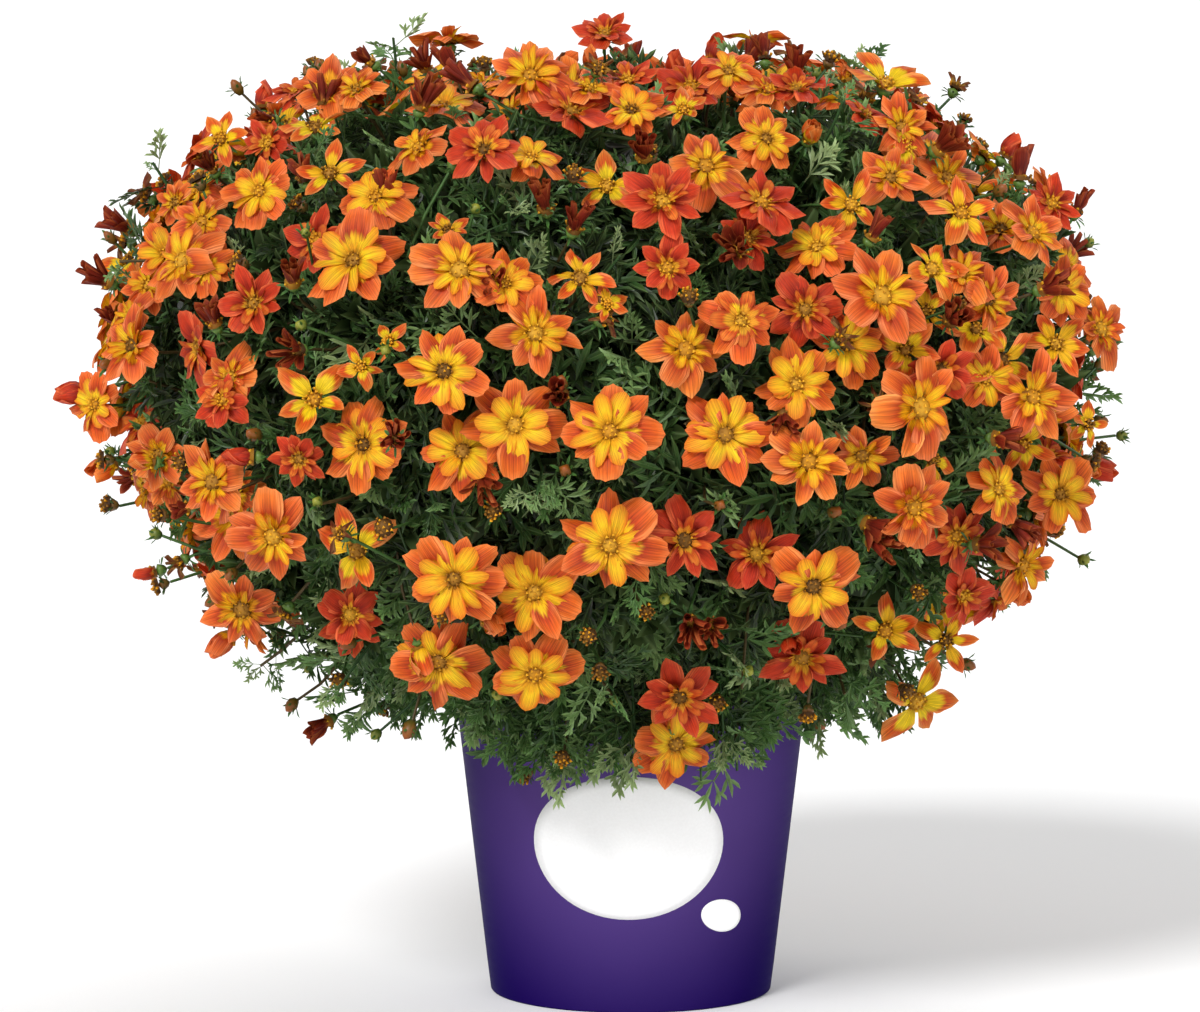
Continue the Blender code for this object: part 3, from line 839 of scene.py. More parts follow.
def petalTints():
    # eight slightly different tints of each look, one for each tile of the map
    draw = random.Random(tintSpread["seed"])
    tints = {}
    for row, (look, (*colours, reach)) in enumerate(petalLooks.items()):
        for column in range(tintsPerLook):
            gain = 1 + draw.uniform(*tintSpread["gain"])
            warmth = draw.uniform(*tintSpread["warmth"])
            tint = {"tile": row * tintsPerLook + column}
            for part, colour in zip(tintParts, colours):
                red, green, blue, _ = linear(colour)
                tint[part] = (red * gain, green * gain * (1 + warmth), blue * gain, 1.0)
            tint["shape"] = (reach + draw.uniform(*tintSpread["reach"]), draw.uniform(0.0, 1.0), 0.0)
            tints[look, column] = tint
    return tints


def makePetalTissue():
    # ray floret tissue: thin, satin, lets light through; fine lengthwise ribs and a feathered colour edge
    material, add = newMaterial("petalTissue")
    petalMap = add("ShaderNodeUVMap", {"uv_map": "petalMap"})
    place = add("ShaderNodeSeparateXYZ", None, {0: petalMap})
    across, along = place.outputs["X"], place.outputs["Y"]
    shape = add("ShaderNodeAttribute", {"attribute_name": "shape"})
    ownShape = add("ShaderNodeSeparateXYZ", None, {0: shape.outputs["Vector"]})
    tile = add("ShaderNodeMath", "MULTIPLY", {0: ownShape.outputs["Y"], 1: 40.0})
    heart, blush, tip, margin = (
        add("ShaderNodeAttribute", {"attribute_name": part}).outputs["Color"] for part in tintParts)

    offset = add("ShaderNodeCombineXYZ", None, {"Z": tile})
    streakPlace = add("ShaderNodeVectorMath", "MULTIPLY_ADD", {0: petalMap, 1: (13.0, 1.4, 1.0), 2: offset})
    streaks = add("ShaderNodeTexNoise", None, {"Vector": streakPlace, "Scale": 1.0, "Detail": 2.0})
    ribPlace = add("ShaderNodeVectorMath", "MULTIPLY_ADD", {0: petalMap, 1: (30.0, 1.2, 1.0), 2: offset})
    ribs = add("ShaderNodeTexNoise", None, {"Vector": ribPlace, "Scale": 1.0, "Detail": 2.0})

    # distance past the colour edge, which runs further out along the middle of the petal
    centred = add("ShaderNodeMath", "MULTIPLY_ADD", {0: across, 1: 2.0, 2: -1.0})
    fromMiddle = add("ShaderNodeMath", "ABSOLUTE", {0: centred})
    past = add("ShaderNodeMath", "SUBTRACT", {0: along, 1: ownShape.outputs["X"]})
    past = add("ShaderNodeMath", "MULTIPLY_ADD", {0: streaks, 1: 0.34, 2: past})
    past = add("ShaderNodeMath", "MULTIPLY_ADD", {0: fromMiddle, 1: 0.16, 2: past})
    outer = add("ShaderNodeMapRange", {"interpolation_type": "SMOOTHSTEP"}, {
        "Value": past, "From Min": 0.14, "From Max": 0.36})
    outwards = add("ShaderNodeMapRange", None, {"Value": past, "From Min": 0.21, "From Max": 0.76})
    outerColour = add("ShaderNodeMix", {"data_type": "RGBA"}, {"Factor": outwards, "A": blush, "B": tip})
    colour = add("ShaderNodeMix", {"data_type": "RGBA"}, {"Factor": outer, "A": heart, "B": outerColour})

    # the margin's own colour, which runs inwards in streaks, a brown throat that is partly painted shade
    # next to the disc, and the ribs' shade
    rim = add("ShaderNodeMath", "MULTIPLY_ADD", {0: ribs, 1: 0.8, 2: fromMiddle})
    rim = add("ShaderNodeMapRange", None, {
        "Value": rim, "From Min": 0.98, "From Max": 1.36, "To Max": 0.85})
    tipRim = add("ShaderNodeMapRange", None, {
        "Value": along, "From Min": 0.84, "From Max": 1.0, "To Max": 0.50})
    rim = add("ShaderNodeMath", "MAXIMUM", {0: rim, 1: tipRim})
    outHere = add("ShaderNodeMapRange", None, {"Value": along, "From Min": 0.25, "From Max": 0.60})
    rimOut = add("ShaderNodeMath", "MULTIPLY", {0: rim, 1: outHere})
    colour = add("ShaderNodeMix", {"data_type": "RGBA"}, {"Factor": rimOut, "A": colour, "B": margin})
    # darker brown towards the petal's base: partly the throat's own colour, partly painted shade next to
    # the disc
    throatAndShade = add("ShaderNodeMapRange", None, {
        "Value": along, "From Min": 0.02, "From Max": 0.22, "To Min": 0.55, "To Max": 0.0})
    colour = add("ShaderNodeMix", {"data_type": "RGBA"}, {
        "Factor": throatAndShade, "A": colour, "B": linear("#9a4a14")})
    shade = add("ShaderNodeMapRange", None, {
        "Value": ribs, "From Min": 0.30, "From Max": 0.66, "To Min": 0.58, "To Max": 1.12})
    colour = add("ShaderNodeVectorMath", "SCALE", {"Vector": colour, "Scale": shade})

    bump = add("ShaderNodeBump", None, {"Strength": 0.8, "Distance": 0.0004, "Height": ribs})
    front = add("ShaderNodeBsdfPrincipled", None, {
        "Base Color": colour, "Roughness": 0.55, "Specular IOR Level": 0.26, "Normal": bump})
    through = add("ShaderNodeBsdfTranslucent", None, {"Color": colour, "Normal": bump})
    both = add("ShaderNodeMixShader", None, {0: 0.24, 1: front, 2: through})
    add("ShaderNodeOutputMaterial", None, {"Surface": both})
    return material


# how each look of flower is put together
flowerBuild = {
    "a": {"petals": (5, 5, 5, 6), "shapes": ("narrow", "pointed", "wavy", "folded"), "look": "twoTone",
          "rise": (2, 16), "disc": 0.19, "inner": None},
    "b": {"petals": (8, 8, 7), "shapes": ("pointed", "pointed", "wavy", "broad", "folded"),
          "look": "orange", "rise": (0, 16), "disc": 0.22,
          "inner": {"shapes": ("ruff", "ruffTwisted"), "look": "innerYellow", "length": (0.38, 0.54),
                    "rise": (16, 36)}},
    "c": {"petals": (8, 8, 9), "shapes": ("broad", "pointed", "narrow", "pointed"), "look": "redOrange",
          "rise": (4, 22), "disc": 0.22,
          "inner": {"shapes": ("ruff", "ruffTwisted"), "look": "innerOrange", "length": (0.44, 0.56),
                    "rise": (18, 40)}},
    "d": {"petals": (8, 8, 7), "shapes": ("broad", "pointed", "broad", "wavy"), "look": "rimmed",
          "rise": (0, 12), "disc": 0.18,
          "inner": {"shapes": ("frill", "frillWavy", "frill"), "look": "innerYellow",
                    "length": (0.52, 0.70), "rise": (8, 22)}},
    "claw": {"petals": (8, 7, 6), "shapes": ("rolled", "rolled", "folded"), "look": "maroon",
             "rise": (48, 74), "disc": 0.22, "inner": None},
    "opening": {"petals": (6, 7), "shapes": ("cupped",), "look": "twoTone",
                "rise": (66, 78), "disc": 0.24, "inner": None},
    "withered": {"petals": (5, 6, 7), "shapes": ("shrivelled", "rolled", "shrivelled"), "look": "faded",
                 "rise": (10, 60), "disc": 0.30, "inner": None},
}
petalKinds = list(petalShapes)
innerKinds = list(innerShapes)
petalPlan = {
    "seed": 33,
    "openingLooks": ("twoTone", "orange", "redOrange"),
    "outer": {"uneven": 0.25, "rise": (-12, 14), "length": (0.82, 1.08), "width": (0.90, 1.16),
              "lean": 0.40},
    "inner": {"uneven": 0.3, "rise": (-7, 9), "width": (0.85, 1.15), "lean": 0.3, "height": 0.0016},
    "everyOther": (5, 0.0006),  # degrees and metres that every other petal stands over its neighbours
    "height": 0.0004,
    "tintSteps": (0, 0, 1, 2),  # how far a petal's tint may be from its flower's
    "innerTintSteps": (0, 1, 2, 3),
    "evenRuffs": 0.8,  # flowers with as many inner petals as outer ones
    "ownRuffs": 0.9,  # flowers whose inner petals have their look's own colour
}


def flowerAxes(facing, spin):
    side = facing.orthogonal().normalized()
    other = facing.cross(side)
    return turnedAbout(side, other, spin), other * math.cos(spin) - side * math.sin(spin)


def petalSpot(flower, angle, rise, start, length, widthShare, height, shapeIndex, tint, lean):
    side, other = flower["axes"]
    facing = flower["facing"]
    outward = turnedAbout(side, other, angle)
    along = turnedAbout(outward, facing, rise)
    above = facing * math.cos(rise) - outward * math.sin(rise)
    across = above.cross(along)
    above = (above + across * lean).normalized()
    return {"place": flower["place"] + outward * start + facing * height,
            "turn": turnFrom(along, above), "stretch": (length, length * widthShare, length),
            "pick": shapeIndex, **tint}


def planPetals(openOnes, closedOnes, tints):
    draw = random.Random(petalPlan["seed"])
    outer, small = petalPlan["outer"], petalPlan["inner"]
    moreRise, moreHeight = petalPlan["everyOther"]
    outerSpots, innerSpots = [], []
    for flower in openOnes + closedOnes:
        build = flowerBuild[flower["look"]]
        flower["axes"] = flowerAxes(flower["facing"], draw.uniform(0.0, 2 * math.pi))
        radius = flower["diameter"] / 2
        count = draw.choice(build["petals"])
        look = build["look"]
        if look == "twoTone" and flower["look"] == "opening":
            look = draw.choice(petalPlan["openingLooks"])
        main = draw.randrange(tintsPerLook)
        openness = draw.uniform(*build["rise"])
        start = radius * petalForm["raysOnDisc"]
        for i in range(count):
            angle = 2 * math.pi * (i + draw.uniform(-outer["uneven"], outer["uneven"])) / count
            rise = math.radians(openness + draw.uniform(*outer["rise"]) + moreRise * (i % 2))
            reach = radius * draw.uniform(*outer["length"]) - start
            kind = petalKinds.index(draw.choice(build["shapes"]))
            tint = tints[look, (main + draw.choice(petalPlan["tintSteps"])) % tintsPerLook]
            outerSpots.append(petalSpot(
                flower, angle, rise, start, reach, draw.uniform(*outer["width"]),
                petalPlan["height"] + moreHeight * (i % 2), kind, tint,
                draw.uniform(-outer["lean"], outer["lean"])))
        inner = build["inner"]
        if not inner:
            continue
        flower["innerRise"] = draw.uniform(*inner["rise"])
        innerCount = count if draw.random() < petalPlan["evenRuffs"] else count + 1
        look = inner["look"] if draw.random() < petalPlan["ownRuffs"] else "innerOrange"
        for i in range(innerCount):
            angle = 2 * math.pi * (i + 0.5 + draw.uniform(-small["uneven"], small["uneven"])) / innerCount
            rise = math.radians(flower["innerRise"] + draw.uniform(*small["rise"]))
            length = radius * draw.uniform(*inner["length"])
            tint = tints[look, (main + draw.choice(petalPlan["innerTintSteps"])) % tintsPerLook]
            innerSpots.append(petalSpot(
                flower, angle, rise, start, length, draw.uniform(*small["width"]), small["height"],
                innerKinds.index(draw.choice(inner["shapes"])), tint,
                draw.uniform(-small["lean"], small["lean"])))
    return outerSpots, innerSpots


petalTissue = makePetalTissue()
outerSpots, innerSpots = planPetals(flowers, closedFlowers, petalTints())
outerKinds = [petalMesh(name, values, petalForm["columns"], petalForm["rows"])
              for name, values in petalShapes.items()]
smallKinds = [petalMesh(name, values, petalForm["innerColumns"], petalForm["innerRows"])
              for name, values in innerShapes.items()]
petalValues = {"Size variation": 0.03, "Own map": "petalMap", "Finish": petalTissue}
# the flowers of the front and of the back are two pieces, each small enough to print
frontFlowers, backFlowers = nodesNamed("flower_front"), nodesNamed("flower_back")
for name, nodes, sign in (("rayPetalsFront", frontFlowers, 1), ("rayPetalsBack", backFlowers, -1)):
    spots = [spot for spot in outerSpots if (spot["place"].y <= 0) == (sign > 0)]
    rayPetals = scatterPiece(name, spots, outerKinds, {**petalValues, "Seed": 5})
    finishPiece(rayPetals, "petal", *nodes)
ruffPetals = scatterPiece("ruffPetals", innerSpots, smallKinds, {**petalValues, "Seed": 6})
finishPiece(ruffPetals, "petal")


# Flower centres, cups, bracts and buds

centreForm = {
    "florets": 17,
    "hiddenFlorets": 7,  # in closed flowers, whose petals hide the disc
    "goldenAngle": math.radians(137.5),
    "floretLength": 2.2 * millimetre,
    "floretRadius": 0.72 * millimetre,
    "dome": 0.42,  # the disc's rise as a share of its radius
    "discWidth": 1.05,
    "discLift": 0.4 * millimetre,
    "discDepth": 1.2 * millimetre,
    "spentDisc": 0.9,  # a spent head's disc, as a share of its radius
    "oldChance": 0.15,  # of a brown disc in an open flower
    "ownTone": 0.7,  # of a floret that has its disc's own tone
    "splay": 0.75,
    "sway": 0.1,
    "floretLift": 0.6 * millimetre,
    "floretLengths": (0.75, 1.1),
    "floretWidths": (0.8, 1.1),
    "bracts": 8,
    "bractLength": 5.0 * millimetre,
    "bractWidth": 1.5 * millimetre,
    "bractLengths": (0.75, 1.15),
    "bractWidths": (0.8, 1.2),
    "bractSway": 0.2,
    "bractTilt": 0.15,
    "reflexed": {"bud": (0.2, 1.0), "flower": (-0.5, 0.1)},  # how far the bracts lean along the stalk
    "hugging": 1.4,  # every other bract lies along the bud
    "bractBelow": 0.75,  # where a bract starts, in radii of its cup
    "bractOut": 0.55,
    "cup": 0.2,  # a cup's radius as a share of the flower's, and of a spent head's
    "spentCup": 0.5,
    "leastCup": 3.0 * millimetre,
    "budSink": 0.2,
    "budTurn": 0.3,
    "tippedTall": 1.4,
}
floretLooks = (  # base and tip: four for florets, then four for the disc under them
    ("#8a520e", "#d8981e"),
    ("#96600f", "#e0a828"),
    ("#744810", "#c08a24"),
    ("#50300e", "#8e601e"),
    ("#744a10", "#bc8220"),
    ("#825812", "#c8942a"),
    ("#603e10", "#a07024"),
    ("#3c260e", "#6c4a1a"),
)


def floretMesh():
    # a tube of three sides that widens upwards and ends in a low point
    points, faces, corners = [], [], []
    for height, radius in ((0.0, 0.7), (0.85, 1.0)):
        for i in range(3):
            turn = 2 * math.pi * i / 3
            points.append((radius * math.cos(turn), radius * math.sin(turn), height))
    points.append((0.0, 0.0, 1.0))
    for i in range(3):
        k = (i + 1) % 3
        faces.append((i, k, 3 + k, 3 + i))
        corners += [(i / 3, 0.0), ((i + 1) / 3, 0.0), ((i + 1) / 3, 0.85), (i / 3, 0.85)]
        faces.append((3 + i, 3 + k, 6))
        corners += [(i / 3, 0.85), ((i + 1) / 3, 0.85), ((i + 0.5) / 3, 1.0)]
    return meshFrom("floret", points, faces, {"floretMap": corners}, smooth=False)


def planFlorets():
    draw = random.Random(44)
    spots = []
    heads = flowers + closedFlowers + [bud for bud in buds if bud["look"] == "spent"]
    for flower in heads:
        spent = flower["look"] == "spent"
        share = centreForm["spentDisc"] if spent else flowerBuild[flower["look"]]["disc"]
        radius = flower["diameter"] / 2 * share
        brown = spent or flower["look"] == "withered" or draw.random() < centreForm["oldChance"]
        old = 3 if brown else draw.choice((0, 1, 2))
        side, other = flower.get("axes") or flowerAxes(flower["facing"], 0.0)
        base, tip = floretLooks[old + 4]
        width = radius * centreForm["discWidth"]
        spots.append({"place": flower["place"] + flower["facing"] * centreForm["discLift"],
                      "turn": turnFrom(side, flower["facing"]),
                      "stretch": (width, width, radius * centreForm["dome"] + centreForm["discDepth"]),
                      "pick": 1, "tile": old + 4, "base": linear(base), "tip": linear(tip)})
        count = centreForm["hiddenFlorets" if flower["look"] in ("claw", "opening") else "florets"]
        for i in range(count):
            turn = i * centreForm["goldenAngle"]
            out = math.sqrt((i + 0.5) / count)
            outward = turnedAbout(side, other, turn)
            swayed = side * draw.uniform(-centreForm["sway"], centreForm["sway"])
            stand = (flower["facing"] + outward * centreForm["splay"] * out + swayed).normalized()
            lift = radius * centreForm["dome"] * (1 - out * out) + centreForm["floretLift"]
            tile = old if draw.random() < centreForm["ownTone"] else (old + 1) % 4
            base, tip = floretLooks[tile]
            length = centreForm["floretLength"] * draw.uniform(*centreForm["floretLengths"])
            width = centreForm["floretRadius"] * draw.uniform(*centreForm["floretWidths"])
            spots.append({"place": flower["place"] + outward * radius * out + flower["facing"] * lift,
                          "turn": turnFrom(stand.orthogonal(), stand), "stretch": (width, width, length),
                          "pick": 0, "tile": tile, "base": linear(base), "tip": linear(tip)})
    return spots


def makeFloretTissue():
    # disc florets: waxy golden tubes, darker between them
    material, add = newMaterial("discFlorets")
    ownMap = add("ShaderNodeUVMap", {"uv_map": "floretMap"})
    place = add("ShaderNodeSeparateXYZ", None, {0: ownMap})
    base, tip = (
        add("ShaderNodeAttribute", {"attribute_name": part}).outputs["Color"] for part in ("base", "tip"))
    ripple = add("ShaderNodeTexNoise", None, {"Vector": ownMap, "Scale": 9.0, "Detail": 1.0})
    height = add("ShaderNodeMath", "MULTIPLY_ADD", {0: ripple, 1: 0.3, 2: place.outputs["Y"]})
    rise = add("ShaderNodeMapRange", {"interpolation_type": "SMOOTHSTEP"}, {
        "Value": height, "From Min": 0.35, "From Max": 1.1})
    colour = add("ShaderNodeMix", {"data_type": "RGBA"}, {"Factor": rise, "A": base, "B": tip})
    front = add("ShaderNodeBsdfPrincipled", None, {
        "Base Color": colour, "Roughness": 0.6, "Specular IOR Level": 0.15})
    add("ShaderNodeOutputMaterial", None, {"Surface": front})
    return material


def turnedMesh(name, profile, sides, mapName, ripple=0.0):
    # profile: (radius, height) from the bottom up; a radius of nothing is one closing point
    points, faces, corners, rows = [], [], [], []
    top = len(profile) - 1
    for j, (radius, height) in enumerate(profile):
        if radius == 0.0:
            rows.append([len(points)] * sides)
            points.append((0.0, 0.0, height))
            continue
        rows.append(list(range(len(points), len(points) + sides)))
        for i in range(sides):
            turn = 2 * math.pi * i / sides
            wave = 1 + ripple * (-1) ** i
            points.append((radius * wave * math.cos(turn), radius * wave * math.sin(turn), height))
    for j in range(top):
        for i in range(sides):
            k = (i + 1) % sides
            square = [(rows[j][i], i, j), (rows[j][k], i + 1, j),
                      (rows[j + 1][k], i + 1, j + 1), (rows[j + 1][i], i, j + 1)]
            kept = [item for place, item in enumerate(square)
                    if item[0] not in [earlier[0] for earlier in square[:place]]]
            faces.append([item[0] for item in kept])
            corners += [(item[1] / sides, item[2] / top) for item in kept]
    return meshFrom(name, points, faces, {mapName: corners})


def bladeMesh(name, fold=0.22):
    # one bract: two faces folded along the middle, one unit long and one unit wide
    points = [(0, 0, 0), (0.30, -0.38, 0.2 * fold), (0.72, -0.36, 0.1), (1, 0, 0.02),
              (0.72, 0.36, 0.1), (0.30, 0.38, 0.2 * fold)]
    faces = [(0, 1, 2, 3), (0, 3, 4, 5)]
    corners = [(0.5, 0.0), (0.1, 0.3), (0.1, 0.72), (0.5, 1.0),
               (0.5, 0.0), (0.5, 1.0), (0.9, 0.72), (0.9, 0.3)]
    return meshFrom(name, points, faces, {"skinMap": corners}, smooth=False)


skinLooks = (  # base and tip: cup, bract, young bud, ripe bud, spent head
    ("#34501f", "#5f7c2e"),
    ("#284a20", "#4c7431"),
    ("#33501c", "#8a8a2c"),
    ("#4a4a18", "#8a4612"),
    ("#4a4a20", "#7a4a1c"),
)


def planSkins():
    # the cup under every flower, the bracts around it, and the round buds
    draw = random.Random(55)
    spots = []
    for flower in flowers + closedFlowers + buds:
        side, other = flower.get("axes") or flowerAxes(flower["facing"], centreForm["budTurn"])
        look = flower["look"]
        isBud = look in ("bud", "tipped")
        tile = {"bud": 2, "tipped": 3, "spent": 4}.get(look, 0)
        if isBud:
            radius = flower["diameter"] / 2
            pick, height = 1, -radius * centreForm["budSink"]
            tall = centreForm["tippedTall"] if look == "tipped" else 1.0
        else:
            radius = flower["diameter"] / 2 * centreForm["spentCup" if look == "spent" else "cup"]
            radius = max(radius, centreForm["leastCup"])
            pick, height, tall = 0, 0.0, 1.0
        base, tip = skinLooks[tile]
        spots.append({"place": flower["place"] + flower["facing"] * height,
                      "turn": turnFrom(side, flower["facing"]), "stretch": (radius, radius, radius * tall),
                      "pick": pick, "tile": tile, "base": linear(base), "tip": linear(tip)})
        base, tip = skinLooks[1]
        reflexed = draw.uniform(*centreForm["reflexed"]["bud" if isBud or look == "spent" else "flower"])
        sway, tilt = centreForm["bractSway"], centreForm["bractTilt"]
        for i in range(centreForm["bracts"]):
            turn = 2 * math.pi * (i + draw.uniform(-sway, sway)) / centreForm["bracts"]
            outward = turnedAbout(side, other, turn)
            hugging = centreForm["hugging"] if isBud and i % 2 else 0.0
            lean = reflexed + hugging + draw.uniform(-tilt, tilt)
            along = (outward + flower["facing"] * lean).normalized()
            length = centreForm["bractLength"] * draw.uniform(*centreForm["bractLengths"])
            width = centreForm["bractWidth"] * draw.uniform(*centreForm["bractWidths"])
            start = flower["place"] - flower["facing"] * (radius * centreForm["bractBelow"])
            start += outward * radius * centreForm["bractOut"]
            spots.append({"place": start, "turn": turnFrom(along, flower["facing"]),
                          "stretch": (length, width, length), "pick": 2, "tile": 1,
                          "base": linear(base), "tip": linear(tip)})
    return spots


def makeBractSkin():
    # green bract and bud skin: waxy, paler lengthwise ribs
    material, add = newMaterial("bractSkin")
    ownMap = add("ShaderNodeUVMap", {"uv_map": "skinMap"})
    place = add("ShaderNodeSeparateXYZ", None, {0: ownMap})
    base, tip = (
        add("ShaderNodeAttribute", {"attribute_name": part}).outputs["Color"] for part in ("base", "tip"))
    ribPlace = add("ShaderNodeVectorMath", "MULTIPLY", {0: ownMap, 1: (16.0, 1.5, 1.0)})
    ribs = add("ShaderNodeTexNoise", None, {"Vector": ribPlace, "Scale": 1.0, "Detail": 1.0})
    height = add("ShaderNodeMath", "MULTIPLY_ADD", {0: ribs, 1: 0.4, 2: place.outputs["Y"]})
    rise = add("ShaderNodeMapRange", None, {"Value": height, "From Min": 0.35, "From Max": 1.15})
    colour = add("ShaderNodeMix", {"data_type": "RGBA"}, {"Factor": rise, "A": base, "B": tip})
    bump = add("ShaderNodeBump", None, {"Strength": 0.4, "Distance": 0.0003, "Height": ribs})
    front = add("ShaderNodeBsdfPrincipled", None, {
        "Base Color": colour, "Roughness": 0.45, "Specular IOR Level": 0.35,
        "Normal": bump})
    add("ShaderNodeOutputMaterial", None, {"Surface": front})
    return material


domeProfile = ((1.0, 0.0), (0.86, 0.55), (0.50, 0.88), (0.0, 1.0))
cupProfile = ((0.0, -1.5), (0.55, -1.15), (0.95, -0.3), (0.0, 0.25))
budProfile = ((0.0, -1.1), (0.55, -0.95), (0.98, -0.35), (0.95, 0.25), (0.55, 0.80), (0.0, 1.1))

floretKinds = [floretMesh(), turnedMesh("dome", domeProfile, 8, "floretMap")]
florets = scatterPiece("discFlorets", planFlorets(), floretKinds, {
    "Own map": "floretMap", "Tiles across": 4.0, "Tiles down": 2.0, "Size variation": 0.1,
    "Finish": makeFloretTissue()})
finishPiece(florets, "petal")
skinKinds = [turnedMesh("cup", cupProfile, 6, "skinMap"), turnedMesh("bud", budProfile, 8, "skinMap", 0.11),
             bladeMesh("bract")]
greenParts = scatterPiece("cupsBractsBuds", planSkins(), skinKinds, {
    "Own map": "skinMap", "Tiles across": 3.0, "Tiles down": 2.0, "Size variation": 0.08,
    "Finish": makeBractSkin()})
finishPiece(greenParts, "leaf")


# Shoots: a thin stalk to every flower and bud, and leafy shoots between them, all from the CAD stems

shootPlan = {
    "seed": 61,
    "leafySpacing": 0.0285,
    "leafyDepth": (0.014, 0.034),  # how far under the flowers a leafy tip ends
    "sprigSpacing": 0.050,  # sprigs that stand out past the flowers
    "sprigDepth": (-0.004, 0.008),
    "sprigLowest": 0.116,  # a lower one would hang bare, without its leaves
    "rimShoots": 92,  # shoots that hang over the pot's rim
    "rimRadius": (0.086, 0.112),
    "rimHeight": (0.128, 0.156),
    "frontRimHeight": (0.103, 0.130),
    "rimUneven": 0.4,
    "frontRim": -0.88,  # outwards and further to the front than this is the pot's front
    "rimFoot": (0.04, 0.19),  # out and up: where such a shoot leaves the stem, how it starts, and
    "rimStart": (0.01, 0.02),  # how far past the rim and above it it passes
    "rimPast": (0.022, 0.045),
    "footDepth": 0.080,  # how deep a shoot looks for the stem that it grows from
    "footRise": 0.01,
    "stemsAbove": 0.012,  # the pot's rim; stems below it carry no shoots
    "sway": 0.12,  # shares of the shoot's length that shape its curve
    "rise": 0.35,
    "lowRise": 0.3,  # a shoot that ends low leaves the stem lower
    "outward": 0.7,
    "level": 0.3,
    "reach": 0.35,
    "drops": {"bud": 0.003, "least": 0.0045, "share": 0.14},  # from a flower's middle to its stalk
    "tones": {"stalk": (0, 0, 1, 2), "leafy": (0, 1, 1, 2), "sprig": (1, 2), "rim": (0, 1, 2)},
    "keepsFrom": 0.010,  # a leafy tip from a flower's middle
    "potClear": 0.004,
    "leans": {"leafy": (0.35, 0.15), "sprig": (0.4, 0.1)},  # by chance, and upwards
    "sprigShares": (0.0, 0.3, 0.6, 0.9),
    "coverSearch": 0.030,  # around a flower, where nothing may stand over its petals
    "coverUnder": -0.0015,
    "points": 7,
    "stalkRadius": 0.70 * millimetre,
    "footRadius": 1.10 * millimetre,
}


def stemPoints():
    # points on the CAD stems above the pot's rim, where shoots may start
    tree = []
    for name in nodesNamed("stems_"):
        for vertex in frame["nodes"][name].data.vertices:
            if vertex.co.z > potShape["height"] + shootPlan["stemsAbove"]:
                tree.append(vertex.co.copy())
    finder = KDTree(len(tree))
    for i, place in enumerate(tree):
        finder.insert(place, i)
    finder.balance()
    return finder


def growShoot(tip, facing, finder, draw):
    foot, _, _ = finder.find(tip - facing * shootPlan["footDepth"] + up * shootPlan["footRise"])
    distance = (tip - foot).length
    outward = (tip - foot).normalized()
    level = Vector((outward.x, outward.y, 0.0))
    reach = shootPlan["reach"]
    bend = anyWay(draw, shootPlan["sway"]) * distance
    rise = shootPlan["rise"] + shootPlan["lowRise"] * min(0.0, facing.z)
    start = outward * shootPlan["outward"] + up * rise + level * shootPlan["level"]
    first = foot + start * distance * reach + bend * 0.5
    second = tip - facing * distance * reach + bend
    return bezier(foot, first, second, tip, shootPlan["points"])


def makeFlowerFinder():
    finder = KDTree(len(flowers))
    for i, flower in enumerate(flowers):
        finder.insert(flower["place"], i)
    finder.balance()

    def coversFlower(place):
        for _, i, _ in finder.find_range(place, shootPlan["coverSearch"]):
            flower = flowers[i]
            offset = place - flower["place"]
            height = offset.dot(flower["facing"])
            fromMiddle = (offset - flower["facing"] * height).length
            if height > shootPlan["coverUnder"] and fromMiddle < flower["diameter"] / 2:
                return True
        return False

    return coversFlower


coversFlower = makeFlowerFinder()


